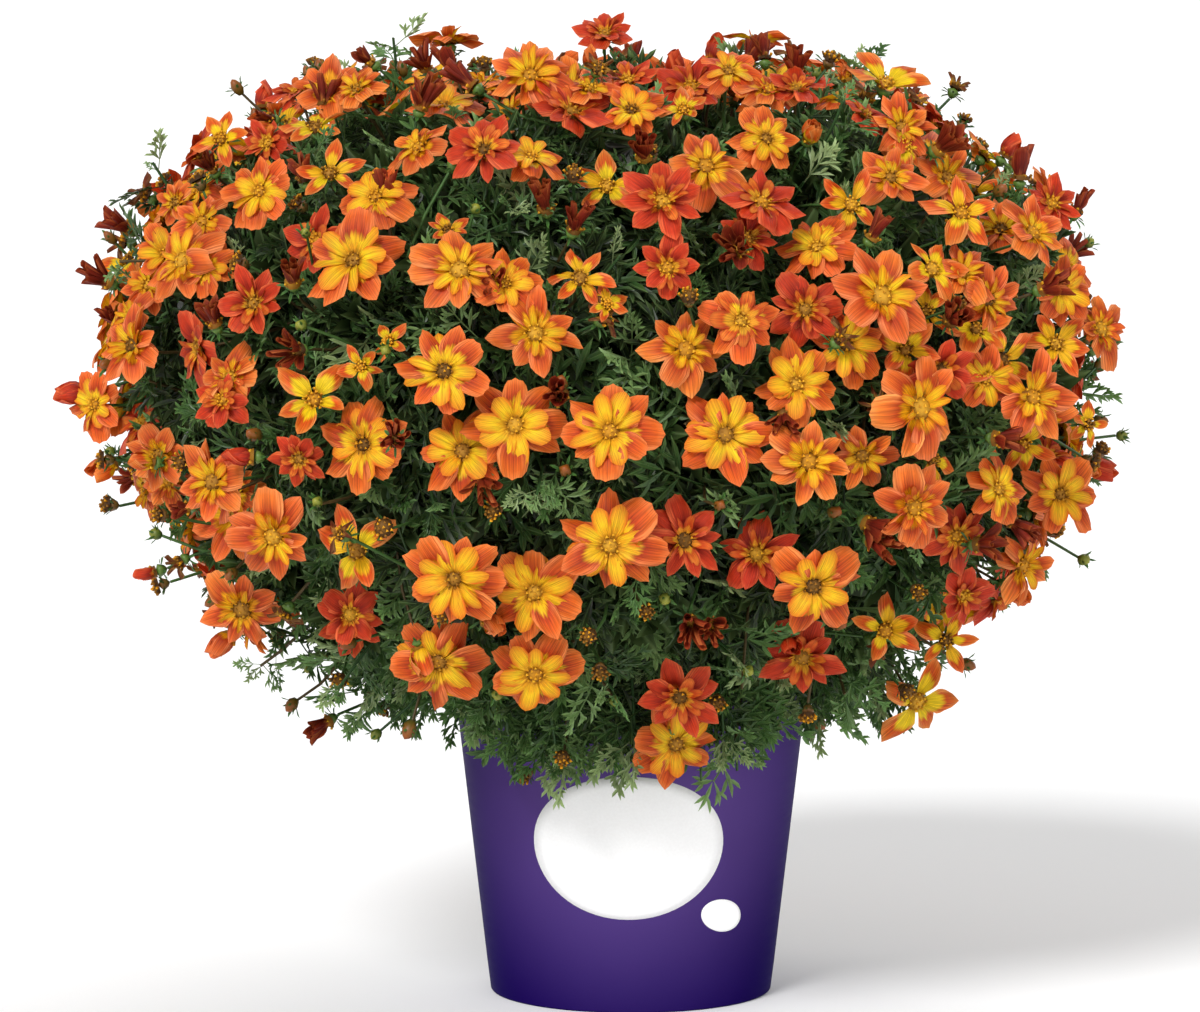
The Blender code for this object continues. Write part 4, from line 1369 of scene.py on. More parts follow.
def planShoots():
    draw = random.Random(shootPlan["seed"])
    finder = stemPoints()
    drops, tones, leans = shootPlan["drops"], shootPlan["tones"], shootPlan["leans"]
    shoots = []

    def leanBy(kind):
        spread, rise = leans[kind]
        return up * rise, anyWay(draw, spread)

    for flower in flowers + closedFlowers + buds:
        isBud = flower["look"] in ("bud", "tipped")
        drop = drops["bud"] if isBud else max(drops["least"], flower["diameter"] * drops["share"])
        tip = flower["place"] - flower["facing"] * drop
        shoots.append({"points": growShoot(tip, flower["facing"], finder, draw), "leafy": False,
                       "tone": draw.choice(tones["stalk"])})
    near = [flower["place"] for flower in flowers + closedFlowers]

    def between(direction):
        # leafy tips also stand close to the flowers, only not through their middle
        place = headPoint(direction)
        return not insidePot(place, shootPlan["potClear"]) and all(
            (place - other).length > shootPlan["keepsFrom"] for other in near)

    for direction in scatterDirections(draw, shootPlan["leafySpacing"], [], between):
        rise, lean = leanBy("leafy")
        facing = (headNormal(direction) + rise + lean).normalized()
        tip = headPoint(direction, draw.uniform(*shootPlan["leafyDepth"]))
        shoots.append({"points": growShoot(tip, facing, finder, draw), "leafy": True,
                       "tone": draw.choice(tones["leafy"])})
    for direction in scatterDirections(draw, shootPlan["sprigSpacing"], [], between):
        rise, lean = leanBy("sprig")
        facing = (headNormal(direction) + rise + lean).normalized()
        tip = headPoint(direction, draw.uniform(*shootPlan["sprigDepth"]))
        points = growShoot(tip, facing, finder, draw)
        if points[-1].z < shootPlan["sprigLowest"]:
            continue
        if not any(coversFlower(points[-1].lerp(points[-2], share)) for share in shootPlan["sprigShares"]):
            tone = draw.choice(tones["sprig"])
            shoots.append({"points": points, "leafy": True, "tone": tone, "kind": "sprig"})
    (footOut, footUp), (startOut, startUp), (pastOut, pastUp) = (
        shootPlan[name] for name in ("rimFoot", "rimStart", "rimPast"))
    uneven = shootPlan["rimUneven"]
    for i in range(shootPlan["rimShoots"]):
        azimuth = 2 * math.pi * (i + draw.uniform(-uneven, uneven)) / shootPlan["rimShoots"]
        outward = directionOf(azimuth, 0.0)
        heights = shootPlan["frontRimHeight" if outward.y < shootPlan["frontRim"] else "rimHeight"]
        tip = outward * draw.uniform(*shootPlan["rimRadius"]) + up * draw.uniform(*heights)
        foot, _, _ = finder.find(outward * footOut + up * footUp)
        start = foot + up * startUp + outward * startOut
        over = outward * (potShape["topRadius"] + pastOut) + up * (potShape["height"] + pastUp)
        shoots.append({"points": bezier(foot, start, over, tip, shootPlan["points"]),
                       "leafy": True, "tone": draw.choice(tones["rim"]), "kind": "rim"})
    return shoots


toneLooks = ("#3f5f2c", "#33522a", "#504224")


def makeTwigSkin():
    # green stalk skin, flushed red or brown towards its foot
    material, add = newMaterial("stalkSkin")
    along = add("ShaderNodeAttribute", {"attribute_name": "along"})
    tint = add("ShaderNodeAttribute", {"attribute_name": "tint"}).outputs["Color"]
    marks = add("ShaderNodeTexNoise", {"noise_dimensions": "1D"}, {
        "W": along.outputs["Fac"], "Scale": 26.0, "Detail": 2.0})
    age = add("ShaderNodeMapRange", None, {
        "Value": along.outputs["Fac"], "From Min": 0.0, "From Max": 0.8, "To Min": 0.65, "To Max": 0.0})
    colour = add("ShaderNodeMix", {"data_type": "RGBA"}, {"Factor": age, "A": tint, "B": linear("#4a3a20")})
    shade = add("ShaderNodeMapRange", None, {
        "Value": marks, "From Min": 0.3, "From Max": 0.7, "To Min": 0.78, "To Max": 1.12})
    colour = add("ShaderNodeVectorMath", "SCALE", {"Vector": colour, "Scale": shade})
    front = add("ShaderNodeBsdfPrincipled", None, {
        "Base Color": colour, "Roughness": 0.5, "Specular IOR Level": 0.3})
    add("ShaderNodeOutputMaterial", None, {"Surface": front})
    return material


def makeStalks(shoots):
    points, edges, thickness, along, tones, tints = [], [], [], [], [], []
    footRadius, tipRadius = shootPlan["footRadius"], shootPlan["stalkRadius"]
    for shoot in shoots:
        first = len(points)
        for i, place in enumerate(shoot["points"]):
            share = i / (len(shoot["points"]) - 1)
            points.append(tuple(place))
            thickness.append(footRadius + (tipRadius - footRadius) * share)
            along.append(share)
            tones.append(shoot["tone"])
            tints += linear(toneLooks[shoot["tone"]])
            if i:
                edges.append((first + i - 1, first + i))
    mesh = bpy.data.meshes.new("stalkLines")
    mesh.from_pydata(points, edges, [])
    for name, values in (("thickness", thickness), ("along", along), ("tone", tones)):
        mesh.attributes.new(name, "FLOAT", "POINT").data.foreach_set("value", values)
    mesh.attributes.new("tint", "FLOAT_COLOR", "POINT").data.foreach_set("color", tints)
    source = newObject("stalkSource", mesh)
    modifierWith(source, twigTree, {"Sides": 3, "Finish": makeTwigSkin()})
    return bakedObject("flowerStalks", source)


shoots = planShoots()
print("planned:", len(shoots), "shoots")
finishPiece(makeStalks(shoots), "stem")


# Leaves: twice-divided, with narrow pointed lobes

leafForm = {
    "length": 40 * millimetre,
    "lengthVariation": (0.72, 1.12),
    "pairsAt": (5, 21, 40),  # millimetres below a leafy tip
    "stalkPairsAt": (34,),  # millimetres below a flower
    "deepPairsAt": (52, 66),
    "potClearance": 0.003,
    "ceiling": {"shoot": (-0.020, 0.001), "sprig": (0.004, 0.017), "rim": (0.012, 0.030)},
    "sprigPairsAt": (3, 12, 24, 38),
    "rimPairsAt": (2, 13, 25, 38),
    "lowest": 0.108,
    "frontLowest": 0.090,  # the leaves hang lower over the middle of the pot's front
    "frontSpan": (-0.050, 0.030),
    "sideways": (-0.238, 0.217),
    "front": -0.084,  # nearer to the photograph than this is the front
    "shortened": (1.0, 0.75, 0.5),
    "zones": (("upper", 16), ("side", -18), ("skirt", -91)),  # and the elevation that each starts above
    "tones": (5.2, 130, 2.4),  # at the tip, how fast they darken inwards as painted shade deep in the plant, and their spread
    "tipLength": 0.6,
    "tipStart": 0.004,
    "pairSpread": 3,  # millimetres and radians that a pair stands off its place
    "pairTurn": 0.3,
    "rises": (12, 48),  # degrees out of the level of the shoot
    "turnUp": 0.25,
    "sway": 0.15,
    "hanging": ((0.2, 1.0), (0.2, 0.9), 0.25),  # over the rim: sideways, down and outwards
    "smaller": 0.7,  # young leaves, and those on sprigs and over the rim
    "youngPicks": (4, 5),
    "picks": (0, 1, 2, 3, 6, 7),
}
# pinnae: where on the midrib, its angle in degrees, its length; the leaf is one unit long
leafParts = ("pinnae", "end", "fold", "lift", "bend")
leafKinds = {
    "full": (((0.26, 58, 0.42), (0.46, 52, 0.40), (0.64, 44, 0.32)), (0.80, 0.34), 0.30, 0.18, -0.22),
    "arched": (((0.28, 64, 0.38), (0.48, 56, 0.38), (0.66, 46, 0.30)), (0.80, 0.32), 0.36, 0.30, -0.42),
    "young": (((0.34, 44, 0.44), (0.58, 38, 0.38), (0.74, 32, 0.26)), (0.78, 0.36), 0.44, 0.34, 0.12),
    "short": (((0.40, 52, 0.52), (0.64, 42, 0.40)), (0.66, 0.46), 0.34, 0.22, -0.14),
}
lobeForm = {
    "width": 0.074,
    "widths": (0.9, 1.15),
    "profile": ((0.36, 0.92), (0.72, 0.80)),  # along the lobe, and its width there
    "droop": 0.06,
    "turn": 7,
    "lift": 0.12,
    "tilt": 0.3,
    "lengths": (0.9, 1.08),
    "endTurn": 6,
    "unbranched": 0.2,  # shorter lobes carry no side lobes
    "sideAt": 0.42,
    "sideSpread": 0.06,
    "sideLength": 0.62,
    "sideLengths": (0.85, 1.1),
    "sideAngle": 36,
    "sideTurn": 8,
    "sideLift": (-0.1, 0.2),
    "sideWidth": 0.85,
    "midrib": (0.013, 0.018),  # half its width, and its depth
}
ranks = 8  # colour steps from the lowest lobes to the last
rankFill = (0.06, 0.88)  # where a lobe's map starts in its rank, and its width there
midribFill = (0.05, 0.45)


def addLobe(points, faces, corners, base, direction, length, width, fold, rank, above):
    # two faces folded along the lobe's midrib
    side = above.cross(direction).normalized()
    profile = lobeForm["profile"]
    first = len(points)
    points.append(base)
    for along, share in profile:
        middle = base + direction * length * along
        points.append(middle - side * width / 2 * share + above * width * fold * share)
    points.append(base + direction * length - above * length * lobeForm["droop"])
    for along, share in reversed(profile):
        middle = base + direction * length * along
        points.append(middle + side * width / 2 * share + above * width * fold * share)
    faces.append((first, first + 1, first + 2, first + 3))
    faces.append((first, first + 3, first + 4, first + 5))
    start, fill = rankFill
    for u, v in ((0.5, 0), (0.08, 0.36), (0.08, 0.72), (0.5, 1),
                 (0.5, 0), (0.5, 1), (0.92, 0.72), (0.92, 0.36)):
        corners.append(((rank + start + fill * u) / ranks, v))


def leafMesh(name, values, seed):
    draw = random.Random(seed)
    kind = dict(zip(leafParts, values))
    points, faces, corners = [], [], []

    def midrib(t):
        return Vector((t, 0.0, kind["bend"] * t * t))

    # the midrib is folded along its middle, so that it shows from every side
    steps = 2
    half, depth = lobeForm["midrib"]
    across, rise = Vector((0.0, half, 0.0)), up * depth
    for i in range(steps + 1):
        place = midrib(kind["end"][0] * i / steps)
        points += [place - across + rise, place, place + across + rise]
    for i in range(steps):
        for j in range(2):
            first = 3 * i + j
            faces.append((first, first + 3, first + 4, first + 1))
            for u, v in ((j, i), (j, i + 1), (j + 1, i + 1), (j + 1, i)):
                corners.append(((midribFill[0] + midribFill[1] * u) / ranks, v / steps))

    def spreadOf(part):
        return draw.uniform(-lobeForm[part], lobeForm[part])

    def addPinna(t, angle, length, rank):
        base = midrib(t)
        turned = math.radians(angle + spreadOf("turn"))
        direction = Vector((math.cos(turned), math.sin(turned), 0.0))
        lift = kind["lift"] * abs(math.sin(turned)) + 2 * kind["bend"] * t + spreadOf("lift")
        direction = (direction + up * lift).normalized()
        above = (up - direction * direction.z + direction.cross(up) * spreadOf("tilt")).normalized()
        width = lobeForm["width"] * draw.uniform(*lobeForm["widths"])
        addLobe(points, faces, corners, base, direction, length, width, kind["fold"], rank, above)
        if length < lobeForm["unbranched"]:
            return
        for sign in (-1, 1):
            spread = math.radians(sign * (lobeForm["sideAngle"] + spreadOf("sideTurn")))
            side = above.cross(direction).normalized()
            branch = turnedAbout(direction, side, spread) + above * draw.uniform(*lobeForm["sideLift"])
            branch.normalize()
            start = base + direction * length * (lobeForm["sideAt"] + spreadOf("sideSpread"))
            sideLength = length * lobeForm["sideLength"] * draw.uniform(*lobeForm["sideLengths"])
            addLobe(points, faces, corners, start, branch, sideLength, width * lobeForm["sideWidth"],
                    kind["fold"], min(ranks - 1, rank + 1), above)

    for i, (t, angle, length) in enumerate(kind["pinnae"]):
        for sign in (-1, 1):
            addPinna(t, sign * angle, length * draw.uniform(*lobeForm["lengths"]), 1 + i)
    addPinna(kind["end"][0], spreadOf("endTurn"), kind["end"][1], 5)
    return meshFrom(name, points, faces, {"leafMap": corners}, smooth=False)


deepLeaf = {
    "lobes": ((0, 1.0), (38, 0.8), (-38, 0.8), (74, 0.62), (-74, 0.62)),  # angle in degrees, length
    "base": Vector((0.08, 0.0, 0.0)),
    "lift": 0.1,
    "length": 0.9,
    "width": 0.26,
    "fold": 0.2,
}


def deepLeafMesh():
    # a coarse leaf for the dark inside of the plant
    points, faces, corners = [], [], []
    for angle, length in deepLeaf["lobes"]:
        turn = math.radians(angle)
        direction = Vector((math.cos(turn), math.sin(turn), deepLeaf["lift"]))
        addLobe(points, faces, corners, deepLeaf["base"], direction, length * deepLeaf["length"],
                deepLeaf["width"], deepLeaf["fold"], 1, up)
    return meshFrom("deepLeaf", points, faces, {"leafMap": corners}, smooth=False)


# tints from dark to light; the darker ones are painted shade for leaves deep inside the plant
leafTintsWithPaintedShade = ("#16260f", "#1f3517", "#2a481f", "#395a2b", "#4a6e38", "#5c8046", "#749258", "#93a672")
tintStep = 5.7  # how far apart the tints take their mottling from the noise


def leafSpot(base, along, above, length, pick, tile):
    return {"place": base, "turn": turnFrom(along, above), "stretch": (length, length, length),
            "pick": pick, "tile": tile, "tint": linear(leafTintsWithPaintedShade[tile]),
            "rowPlace": (tile * tintStep, 0.0, 0.0)}


def pointBelow(points, distance):
    # the place and direction at that distance below the tip, along the shoot
    left = distance
    for i in range(len(points) - 1, 0, -1):
        step = points[i] - points[i - 1]
        if left <= step.length:
            return points[i] - step.normalized() * left, step.normalized()
        left -= step.length
    return None


def planLeaves(shoots):
    draw = random.Random(72)
    zones = {name: [] for name, _ in leafForm["zones"]}
    deepPick = 2 * len(leafKinds)
    tone, paintedShadeInwards, mottling = leafForm["tones"]
    frontLeft, frontRight = leafForm["frontSpan"]

    def addLeaf(base, along, above, length, pick, depth, ceiling):
        # a leaf that would reach too far out or hang too low is made shorter, or left out
        highest = draw.uniform(*ceiling)
        leftmost, rightmost = leafForm["sideways"]
        for share in leafForm["shortened"]:
            tip = base + along * length * share
            offset = tip - head["centre"]
            inFront = tip.y < leafForm["front"] and frontLeft < tip.x < frontRight
            lowest = leafForm["frontLowest" if inFront else "lowest"]
            if (offset.length < headReach(offset.normalized()) + highest
                    and tip.z > lowest and leftmost < tip.x < rightmost):
                break
        else:
            return
        length *= share
        for place in (tip, (base + tip) / 2):
            if insidePot(place, leafForm["potClearance"]) or coversFlower(place):
                return
        middle = (base + tip * 2) / 3 - head["centre"]
        elevation = math.degrees(math.asin(middle.normalized().z))
        zone = next(name for name, lowest in leafForm["zones"] if elevation > lowest)
        # further down the shoot, a darker tint: painted shade inside the plant
        tile = round(tone - depth * paintedShadeInwards + draw.uniform(-mottling, mottling))
        tile = max(0, min(len(leafTintsWithPaintedShade) - 1, tile))
        zones[zone].append(leafSpot(base, along, above, length, pick, tile))

    for shoot in shoots:
        spin = draw.uniform(0.0, math.pi)
        kind = shoot.get("kind", "shoot")
        ceiling = leafForm["ceiling"][kind]
        distances = leafForm["pairsAt" if shoot["leafy"] else "stalkPairsAt"]
        if kind != "shoot":
            distances = leafForm[kind + "PairsAt"]
        pairs = [(distance, False) for distance in distances]
        pairs += [(distance, True) for distance in leafForm["deepPairsAt"]]
        if shoot["leafy"]:
            tip, before = shoot["points"][-1], shoot["points"][-2]
            along = (tip - before).normalized()
            length, pick = leafForm["length"] * leafForm["tipLength"], draw.choice(leafForm["youngPicks"])
            base = tip - along * leafForm["tipStart"]
            addLeaf(base, along, along.orthogonal(), length, pick, 0.0, ceiling)
        for order, (distance, deep) in enumerate(pairs):
            spread = leafForm["pairSpread"]
            found = pointBelow(shoot["points"], (distance + draw.uniform(-spread, spread)) * millimetre)
            if not found:
                continue
            base, forward = found
            side = forward.orthogonal().normalized()
            other = forward.cross(side)
            turn = spin + order * math.pi / 2
            for sign in (0.0, math.pi):
                angle = turn + sign + draw.uniform(-leafForm["pairTurn"], leafForm["pairTurn"])
                outward = turnedAbout(side, other, angle)
                rise = math.radians(draw.uniform(*leafForm["rises"]))
                along = turnedAbout(outward, forward, rise)
                above = forward * math.cos(rise) - outward * math.sin(rise)
                above = (above + up * leafForm["turnUp"]).normalized()
                if kind == "rim":
                    # hangs like a curtain, its upper side to the outside
                    above = Vector((base.x, base.y, 0.0)).normalized()
                    tangent = above.cross(up) * (1 if sign else -1)
                    sideways, down, out = leafForm["hanging"]
                    along = tangent * draw.uniform(*sideways) - up * draw.uniform(*down) + above * out
                along = (along + anyWay(draw, leafForm["sway"])).normalized()
                young = shoot["leafy"] and order == 0
                length = leafForm["length"] * draw.uniform(*leafForm["lengthVariation"])
                if young:
                    length *= leafForm["smaller"]
                if kind != "shoot":
                    length *= leafForm["smaller"]
                pick = deepPick if deep else draw.choice(leafForm["youngPicks" if young else "picks"])
                addLeaf(base, along, above, length, pick, distance * millimetre, ceiling)
    return zones


def makeLeafBlade():
    # leaf blade: matte green with a soft wax shine, paler midribs, light shining through
    material, add = newMaterial("leafBlade")
    ownMap = add("ShaderNodeUVMap", {"uv_map": "leafMap"})
    place = add("ShaderNodeSeparateXYZ", None, {0: ownMap})
    tint = add("ShaderNodeAttribute", {"attribute_name": "tint"}).outputs["Color"]
    row = add("ShaderNodeAttribute", {"attribute_name": "rowPlace"}).outputs["Vector"]
    column = add("ShaderNodeMath", "MULTIPLY", {0: place.outputs["X"], 1: float(ranks)})
    rank = add("ShaderNodeMath", "FLOOR", {0: column})
    across = add("ShaderNodeMath", "FRACT", {0: column})
    mottlePlace = add("ShaderNodeVectorMath", "MULTIPLY_ADD", {0: ownMap, 1: (40.0, 3.0, 1.0), 2: row})
    mottle = add("ShaderNodeTexNoise", None, {"Vector": mottlePlace, "Scale": 1.0, "Detail": 2.0})
    # lobes lighter towards the leaf's end, and paler green towards each lobe's tip
    lighterTowardsEnd = add("ShaderNodeMapRange", None, {
        "Value": rank, "From Max": 6.0, "To Min": 0.78, "To Max": 1.22})
    shade = add("ShaderNodeMapRange", None, {
        "Value": mottle, "From Min": 0.3, "From Max": 0.7, "To Min": 0.80, "To Max": 1.18})
    gain = add("ShaderNodeMath", "MULTIPLY", {0: lighterTowardsEnd, 1: shade})
    colour = add("ShaderNodeVectorMath", "SCALE", {"Vector": tint, "Scale": gain})
    towardsTip = add("ShaderNodeMapRange", None, {
        "Value": place.outputs["Y"], "From Min": 0.35, "From Max": 1.0, "To Max": 0.22})
    colour = add("ShaderNodeMix", {"data_type": "RGBA"}, {
        "Factor": towardsTip, "A": colour, "B": linear("#8fb060")})
    middle = add("ShaderNodeMath", "SUBTRACT", {0: across, 1: 0.5})
    middle = add("ShaderNodeMath", "ABSOLUTE", {0: middle})
    rib = add("ShaderNodeMapRange", None, {
        "Value": middle, "From Min": 0.02, "From Max": 0.10, "To Min": 0.28, "To Max": 0.0})
    colour = add("ShaderNodeMix", {"data_type": "RGBA"}, {
        "Factor": rib, "A": colour, "B": linear("#9ab87a")})
    front = add("ShaderNodeBsdfPrincipled", None, {
        "Base Color": colour, "Roughness": 0.42, "Specular IOR Level": 0.4})
    through = add("ShaderNodeBsdfTranslucent", None, {"Color": colour})
    both = add("ShaderNodeMixShader", None, {0: 0.18, 1: front, 2: through})
    add("ShaderNodeOutputMaterial", None, {"Surface": both})
    return material


leafBlade = makeLeafBlade()
leafZones = planLeaves(shoots)
leafMeshes = [leafMesh(f"leaf{name}{seed}", values, seed)
              for name, values in leafKinds.items() for seed in (1, 2)]
leafMeshes.append(deepLeafMesh())
zoneNodes = {"upper": nodesNamed("leaves_upper") + ["leaves_crown"], "side": nodesNamed("leaves_side"),
             "skirt": nodesNamed("leaves_skirt")}
for zone, spots in leafZones.items():
    leaves = scatterPiece("leaves" + zone.capitalize(), spots, leafMeshes, {
        "Own map": "leafMap", "Tiles across": 1.0, "Tiles down": 8.0, "Size variation": 0.06,
        "Finish": leafBlade})
    finishPiece(leaves, "leaf", *zoneNodes[zone])
    print("zone", zone, len(spots), "leaves")


# The woody stems of the CAD model keep their shape and get their skin

def makeStemBark():
    # young stem bark: green-brown with lengthwise fibres and small pale pores
    material, add = newMaterial("stemBark")
    place = add("ShaderNodeTexCoord")
    fibrePlace = add("ShaderNodeVectorMath", "MULTIPLY", {
        0: place.outputs["Object"], 1: (900.0, 900.0, 90.0)})
    fibres = add("ShaderNodeTexNoise", None, {"Vector": fibrePlace, "Scale": 1.0, "Detail": 3.0})
    colour = add("ShaderNodeValToRGB", {"stops": (
        (0.30, "#3a2c18"), (0.52, "#54502a"), (0.75, "#7d7a48"))}, {"Fac": fibres})
    bump = add("ShaderNodeBump", None, {"Strength": 0.5, "Distance": 0.0004, "Height": fibres})
    front = add("ShaderNodeBsdfPrincipled", None, {"Base Color": colour, "Roughness": 0.6, "Normal": bump})
    add("ShaderNodeOutputMaterial", None, {"Surface": front})
    return material


stemBark = makeStemBark()
for name in nodesNamed("stems_"):
    data = frame["nodes"][name].data
    data.materials.clear()
    data.materials.append(stemBark)


# The pot

potLook = {
    "steps": 144,
    "mergeWithin": 0.00002,
    "rimRound": 0.0009,
    "roundSteps": 5,
    "baseRound": 0.0012,
    "floorRings": (0.0, 0.020, 0.036, 0.050),
    "floorHeights": (0.0008, 0.0023),  # the base stands clear of the ground inside its foot
    "footInside": 0.053,
    "outsideHeights": (0.012, 0.030, 0.050, 0.070, 0.090, 0.108),
    "insideHeights": (0.100, 0.050, 0.004),
    "rimStep": (0.0006, 0.0009),  # how the wall steps out to the rim
    # a painted highlight on the pot's front over the dark violet body: its colour, the height of its middle
    # and its reach
    "paintedLightColour": "#5b4484",
    "bodyColour": "#12004a",
    "paintedLightMiddle": 0.105,  # height
    "paintedLightReach": 0.105,
    "roughness": 0.45,
    "scuffing": 0.06,
}


def roundCorner(centre, radius, first, last, steps):
    # points on an arc of the profile, angles in degrees
    return [(centre[0] + radius * math.cos(math.radians(first + (last - first) * i / steps)),
             centre[1] + radius * math.sin(math.radians(first + (last - first) * i / steps)))
            for i in range(steps + 1)]


def potProfile():
    shape = potShape
    wall, proud, tall = shape["wall"], shape["rimProud"], shape["height"]
    steps = potLook["roundSteps"]
    rimLow = tall - shape["rimHeight"]
    baseRound, rimRound = potLook["baseRound"], potLook["rimRound"]
    under, over = potLook["floorHeights"]
    stepOut, stepUp = potLook["rimStep"]
    profile = [(radius, under) for radius in potLook["floorRings"]] + [(potLook["footInside"], 0.0)]
    profile += roundCorner((shape["baseRadius"] - baseRound, baseRound), baseRound, -90, -6, steps)
    profile += [(potRadius(height), height) for height in potLook["outsideHeights"]]
    profile += [(potRadius(rimLow - stepOut), rimLow - stepOut), (potRadius(rimLow) + stepOut, rimLow)]
    profile += [(potRadius(rimLow) + proud, rimLow + stepUp)]
    outer, inner = potRadius(tall) + proud, potRadius(tall) - wall
    profile += roundCorner((outer - rimRound, tall - rimRound), rimRound, 0, 90, steps)
    profile += roundCorner((inner + rimRound, tall - rimRound), rimRound, 90, 180, steps)
    profile += [(potRadius(height) - wall, height) for height in (rimLow, *potLook["insideHeights"])]
    profile += [(radius, over) for radius in reversed(potLook["floorRings"])]
    return profile


def makeMouldedPlastic():
    # moulded polypropylene, satin: dark violet, a painted highlight at the front that fades into painted
    # shade at the sides and towards the bottom, fine scuffs
    material, add = newMaterial("mouldedPolypropylene")
    place = add("ShaderNodeTexCoord").outputs["Object"]
    parts = add("ShaderNodeSeparateXYZ", None, {0: place})
    flow = add("ShaderNodeTexNoise", None, {"Vector": place, "Scale": 22.0, "Detail": 3.0})
    front = add("ShaderNodeMath", "MULTIPLY", {0: parts.outputs["Y"], 1: -1.0})
    azimuth = add("ShaderNodeMath", "ARCTAN2", {0: parts.outputs["X"], 1: front})
    across = add("ShaderNodeMath", "MULTIPLY", {
        0: azimuth, 1: potRadius(potLook["paintedLightMiddle"]) / potLook["paintedLightReach"]})
    down = add("ShaderNodeMath", "SUBTRACT", {0: parts.outputs["Z"], 1: potLook["paintedLightMiddle"]})
    down = add("ShaderNodeMath", "DIVIDE", {0: down, 1: potLook["paintedLightReach"]})
    away = add("ShaderNodeCombineXYZ", None, {"X": across, "Y": down})
    away = add("ShaderNodeVectorMath", "LENGTH", {0: away})
    away = add("ShaderNodeMath", "MULTIPLY_ADD", {0: flow, 1: 0.08, 2: away.outputs["Value"]})
    # painted light: lightest at the front at middle height, painted shade towards the sides and the bottom
    paintedLight = add("ShaderNodeMapRange", {"interpolation_type": "SMOOTHSTEP"}, {
        "Value": away, "From Min": 0.15, "From Max": 1.30, "To Min": 1.0, "To Max": 0.0})
    colour = add("ShaderNodeMix", {"data_type": "RGBA"}, {
        "Factor": paintedLight, "A": linear(potLook["bodyColour"]), "B": linear(potLook["paintedLightColour"])})
    grain = add("ShaderNodeTexNoise", None, {"Vector": place, "Scale": 1400.0, "Detail": 2.0})
    scuffPlace = add("ShaderNodeVectorMath", "MULTIPLY", {0: place, 1: (60.0, 60.0, 420.0)})
    scuffs = add("ShaderNodeTexNoise", None, {"Vector": scuffPlace, "Scale": 1.0, "Detail": 4.0})
    rough = add("ShaderNodeMapRange", None, {
        "Value": scuffs, "From Min": 0.35, "From Max": 0.75,
        "To Min": potLook["roughness"], "To Max": potLook["roughness"] + potLook["scuffing"]})
    bump = add("ShaderNodeBump", None, {"Strength": 0.12, "Distance": 0.0002, "Height": grain})
    skin = add("ShaderNodeBsdfPrincipled", None, {
        "Base Color": colour, "Roughness": rough, "Specular IOR Level": 0.01, "Normal": bump})
    add("ShaderNodeOutputMaterial", None, {"Surface": skin})
    return material


def makeDrainTree():
    # a ring of round holes through the base
    tree, add, given, result = newTree("drainHoles", {
        "Holes": ("NodeSocketInt", 6),
        "Hole radius": ("NodeSocketFloat", 0.004),
        "Ring radius": ("NodeSocketFloat", 0.04),
        "Finish": ("NodeSocketMaterial", None),
    })
    ring = add("GeometryNodeMeshCircle", None, {
        "Vertices": given.outputs["Holes"], "Radius": given.outputs["Ring radius"]})
    halfStep = add("ShaderNodeMath", "DIVIDE", {0: math.pi, 1: given.outputs["Holes"]})
    turned = add("ShaderNodeCombineXYZ", None, {"Z": halfStep})
    ring = add("GeometryNodeTransform", None, {"Geometry": ring, "Rotation": turned})
    punch = add("GeometryNodeMeshCylinder", None, {
        "Vertices": 24, "Radius": given.outputs["Hole radius"], "Depth": 0.02})
    punches = add("GeometryNodeInstanceOnPoints", None, {"Points": ring, "Instance": punch.outputs["Mesh"]})
    punches = add("GeometryNodeRealizeInstances", None, {"Geometry": punches})
    cut = add("GeometryNodeMeshBoolean", "DIFFERENCE", {0: given.outputs["Geometry"], 1: punches})
    real = add("GeometryNodeRealizeInstances", None, {"Geometry": cut.outputs["Mesh"]})
    finished = add("GeometryNodeSetMaterial", None, {"Geometry": real, "Material": given.outputs["Finish"]})
    tree.links.new(finished.outputs[0], result.inputs[0])
    return tree


def makePot():
    mesh = bpy.data.meshes.new("potShell")
    points = [(radius, 0.0, height) for radius, height in potProfile()]
    mesh.from_pydata(points, [(i, i + 1) for i in range(len(points) - 1)], [])
    source = newObject("potSource", mesh)
    screw = source.modifiers.new("turn", "SCREW")
    screw.axis, screw.angle = "Z", 2 * math.pi
    screw.steps = screw.render_steps = potLook["steps"]
    screw.use_merge_vertices, screw.merge_threshold = True, potLook["mergeWithin"]
    screw.use_normal_calculate = True
    screw.use_smooth_shade = True
    modifierWith(source, makeDrainTree(), {
        "Holes": potShape["drainHoles"], "Hole radius": potShape["drainRadius"],
        "Ring radius": potShape["drainRing"], "Finish": makeMouldedPlastic()})
    return bakedObject("potShell", source)


pot = makePot()
finishPiece(pot, "pot", "pot")


# The two white ovals printed on the pot, left bare

ovals = {
    "largeOval": {"turn": -1.3, "height": 0.0706, "halfWidth": 0.0417, "halfHeight": 0.0304,
                  "slope": 0.0},
    "smallOval": {"turn": 35.9, "height": 0.0399, "halfWidth": 0.0104, "halfHeight": 0.0069,
                  "slope": -0.14},
}
inkThickness = 0.12 * millimetre  # thicker than ink, so that it clears the pot's facets
inkDepth = 1.5  # its solid reaches into the pot's wall by half of that


def ringFaces(rings, spokes, bottom=None):
    # faces of a middle point and the rings around it, closed below by a last point where there is one
    faces = []
    last = 1 + (rings - 1) * spokes
    for i in range(spokes):
        k = (i + 1) % spokes
        faces.append((0, 1 + i, 1 + k))
        for j in range(rings - 1):
            low, high = 1 + j * spokes, 1 + (j + 1) * spokes
            faces.append((low + i, high + i, high + k, low + k))
        if bottom:
            faces.append((bottom, last + k, last + i))
    return faces


